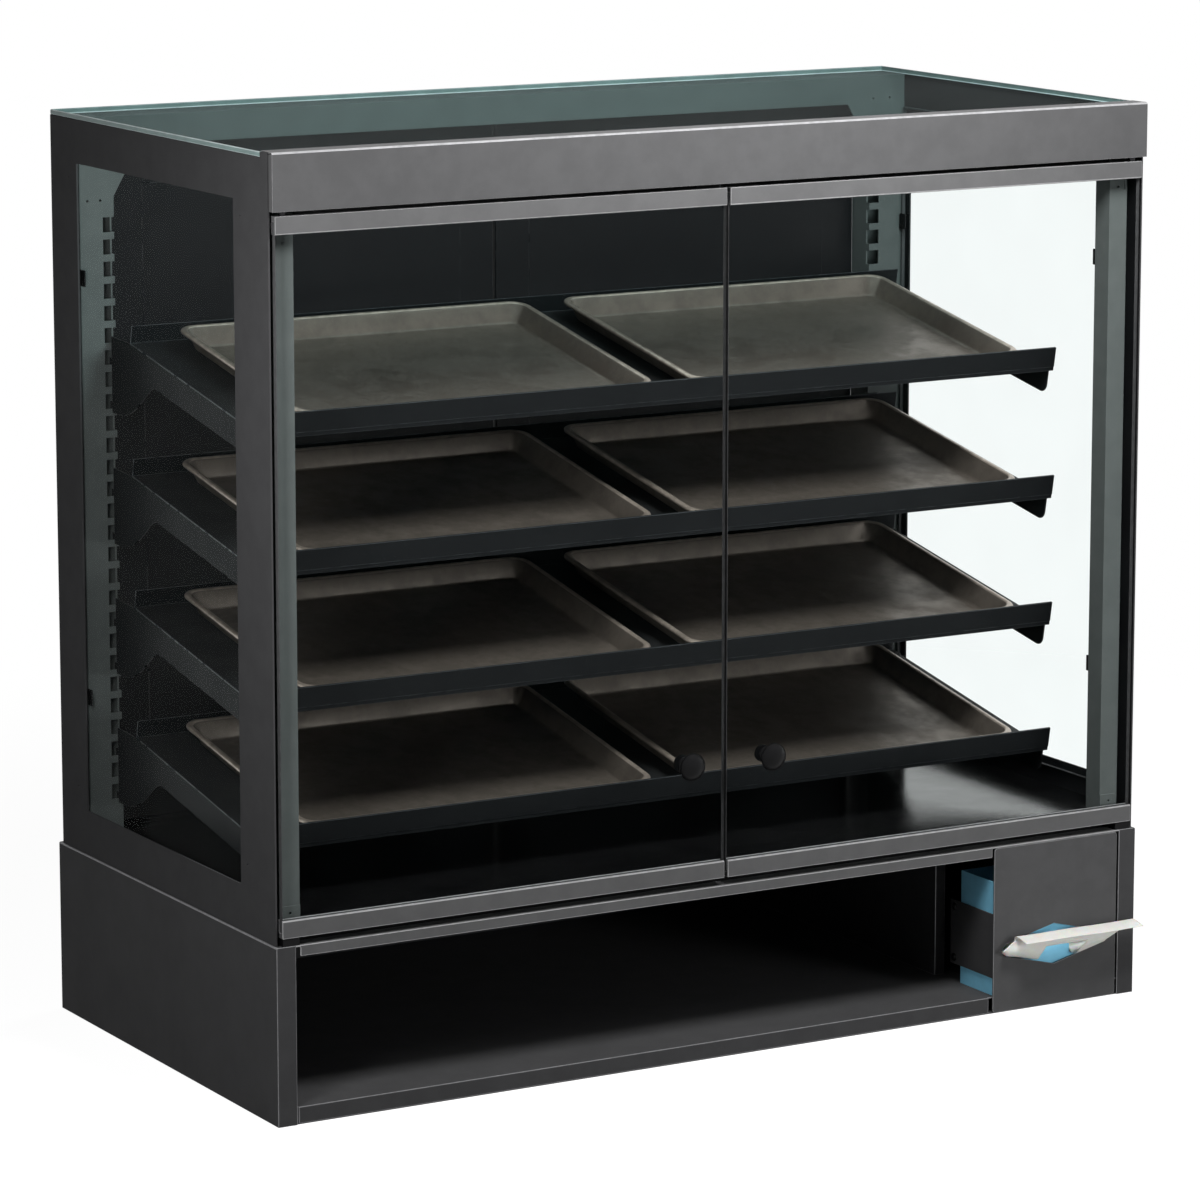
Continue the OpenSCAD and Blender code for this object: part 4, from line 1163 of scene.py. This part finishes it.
class DISPLAYCASE_OT_screws(bpy.types.Operator):
    """Set the screw heads of the strap and of the base back"""

    bl_idname = "display_case.add_screws"
    bl_label = "Screws"

    def execute(self, context):
        for node, axis, turned, seed in (
            ("back_screws", 1, (-math.pi / 2, 0.0, 0.0), 3),
            ("strap_screws", 0, (0.0, -math.pi / 2, 0.0), 7),
        ):
            islands = self.solids(node)
            seats = []
            for low, high in islands:
                seat = (low + high) / 2
                seat[axis] = low[axis] if axis == 1 else high[axis]
                seats.append(seat)
            low, high = islands[0]
            heads = points_object(f"{node}_heads", seats)
            run_tree(heads, screw_tree(), {
                "Radius": (high.z - low.z) / 2,
                "Rise": high[axis] - low[axis],
                "Recess": context.scene.case_sizes.screw_recess,
                "Axis": turned,
                "Seed": seed,
                "Material": coat_material(context, "plastic"),
            })
            heads.data.set_sharp_from_angle(angle=math.radians(35))
            belong(heads, [node])
        return {"FINISHED"}

    def solids(self, node):
        """The lowest and highest corner of each separate solid of a node."""
        work = bmesh.new()
        work.from_mesh(frame["nodes"][node].data)
        bmesh.ops.remove_doubles(work, verts=work.verts, dist=MERGE)
        left, found = set(work.verts), []
        while left:
            group, edge = [], [left.pop()]
            while edge:
                vertex = edge.pop()
                group.append(vertex.co.copy())
                near = {link.other_vert(vertex) for link in vertex.link_edges} & left
                left -= near
                edge += near
            found.append(tuple(Vector(map(pick, *group)) for pick in (min, max)))
        work.free()
        if not found:
            raise RuntimeError(f"The node {node} has no solids")
        return sorted(found, key=lambda pair: tuple(pair[0]))


class DISPLAYCASE_OT_stage(bpy.types.Operator):
    """Set up the floor, the lamps, the background and the camera"""

    bl_idname = "display_case.add_stage"
    bl_label = "Stage"

    def execute(self, context):
        stage = context.scene.case_stage
        self.camera(context, stage)
        self.world(context, stage)
        self.floor(stage)
        # Lamps: name, place, where it points, its two sides and its power
        self.lamp("key", (0.12, -0.95, 1.65), (0.06, -0.3, 0.8), (0.6, 0.4), stage.key_power)
        self.lamp("side", (-1.05, -0.62, 0.9), (-0.57, -0.3, 0.68), (0.2, 0.6), stage.side_power)
        self.lamp("fill", (0.9, -1.5, 0.35), (0.5, -0.29, 0.1), (0.4, 0.4), stage.fill_power)
        self.lamp("rim", (2.2, 1.3, 1.8), (0.3, 0.0, 0.6), (1.2, 1.2), stage.rim_power)
        context.scene.view_settings.view_transform = "Standard"
        return {"FINISHED"}

    def camera(self, context, stage):
        data = bpy.data.cameras.new("camera")
        data.sensor_width = 36.0
        data.lens = stage.focal_length
        data.shift_y = stage.camera_shift
        data.clip_end = 60.0
        camera = new_object("camera", data)
        camera.location = stage.camera_place
        camera.rotation_euler = stage.camera_turn
        context.scene.camera = camera

    def lamp(self, name, place, target, size, power):
        data = bpy.data.lights.new(name, "AREA")
        data.shape = "RECTANGLE"
        data.size, data.size_y = size
        data.energy = power
        lamp = new_object(name, data)
        lamp.location = place
        lamp.rotation_euler = (Vector(target) - Vector(place)).to_track_quat("-Z", "Y").to_euler()
        lamp.visible_camera = lamp.visible_glossy = False

    def seen_directly(self, tree):
        """1 for a ray that meets the white background: straight, mirrored or let through."""
        path = add(tree, "ShaderNodeLightPath").outputs
        mirrored = calc(tree, "MAXIMUM", path["Is Camera Ray"], path["Is Glossy Ray"])
        return calc(tree, "MAXIMUM", mirrored, path["Is Transmission Ray"])

    def world(self, context, stage):
        world = bpy.data.worlds.new("studio")
        world.use_nodes = True
        tree = world.node_tree
        tree.nodes.clear()
        room = add(tree, "ShaderNodeBackground", {
            "Color": (0.95, 0.98, 1.0, 1.0), "Strength": stage.room_light,
        })
        white = add(tree, "ShaderNodeBackground", {"Color": WHITE, "Strength": 1.0})
        seen = self.seen_directly(tree)
        both = add(tree, "ShaderNodeMixShader", {0: seen, 1: room, 2: white})
        add(tree, "ShaderNodeOutputWorld", {"Surface": both})
        context.scene.world = world

    def floor(self, stage):
        """A pale floor that keeps the shadow near the case and fades into the background."""
        half, fade_from, fade_to = 30.0, 0.9, 2.2
        mesh = bpy.data.meshes.new("floor")
        corners = [(-half, -half, 0), (half, -half, 0), (half, half, 0), (-half, half, 0)]
        mesh.from_pydata(corners, [], [(0, 1, 2, 3)])
        material, tree = new_material("pale_floor")
        tone = stage.floor_tone
        speckle = noise(tree, object_place(tree), 12 * MM)
        matt = add(tree, "ShaderNodeBsdfDiffuse", {
            "Color": ramp(tree, speckle, 0.3, 0.7, 0.985 * tone, tone),
        })
        lift = add(tree, "ShaderNodeEmission", {
            "Color": rgba([stage.floor_lift] * 3), "Strength": self.seen_directly(tree),
        })
        near = add(tree, "ShaderNodeAddShader", {0: matt, 1: lift})
        far = add(tree, "ShaderNodeEmission", {"Color": WHITE, "Strength": 1.0})
        place = add(tree, "ShaderNodeTexCoord").outputs["Object"]
        away = add(tree, "ShaderNodeVectorMath", {0: place}, operation="LENGTH").outputs["Value"]
        fade = ramp(tree, away, fade_from, fade_to)
        direct = calc(tree, "MULTIPLY", fade, self.seen_directly(tree))
        surface(tree, add(tree, "ShaderNodeMixShader", {0: direct, 1: near, 2: far}))
        mesh.materials.append(material)
        new_object("floor", mesh)


class DISPLAYCASE_PT_build(bpy.types.Panel):
    """Lists the steps that build the display case"""

    bl_idname = "DISPLAYCASE_PT_build"
    bl_label = "Display case"
    bl_space_type = "VIEW_3D"
    bl_region_type = "UI"
    bl_category = "Display Case"

    def draw(self, context):
        for step in STEPS:
            self.layout.operator(step.bl_idname)
        for field in GROUP_CLASSES:
            group, box = getattr(context.scene, field), self.layout.box()
            for name in group.bl_rna.properties.keys():
                if name not in ("rna_type", "name"):
                    box.prop(group, name)


STEPS = (
    DISPLAYCASE_OT_stage,
    DISPLAYCASE_OT_base,
    DISPLAYCASE_OT_dispenser,
    DISPLAYCASE_OT_tissue,
    DISPLAYCASE_OT_panels,
    DISPLAYCASE_OT_frame,
    DISPLAYCASE_OT_front_doors,
    DISPLAYCASE_OT_rear_doors,
    DISPLAYCASE_OT_shelves,
    DISPLAYCASE_OT_pans,
    DISPLAYCASE_OT_screws,
)
GROUP_CLASSES = {"case_colours": CaseColours, "case_sizes": CaseSizes, "case_stage": CaseStage}


def register():
    for cls in (*GROUP_CLASSES.values(), *STEPS, DISPLAYCASE_PT_build):
        bpy.utils.register_class(cls)
    for name, cls in GROUP_CLASSES.items():
        setattr(bpy.types.Scene, name, PointerProperty(type=cls))


def unregister():
    for name in GROUP_CLASSES:
        delattr(bpy.types.Scene, name)
    for cls in reversed((*GROUP_CLASSES.values(), *STEPS, DISPLAYCASE_PT_build)):
        bpy.utils.unregister_class(cls)


def main():
    register()
    for step in STEPS:
        family, name = step.bl_idname.split(".")
        getattr(getattr(bpy.ops, family), name)()


if __name__ == "__main__":
    main()
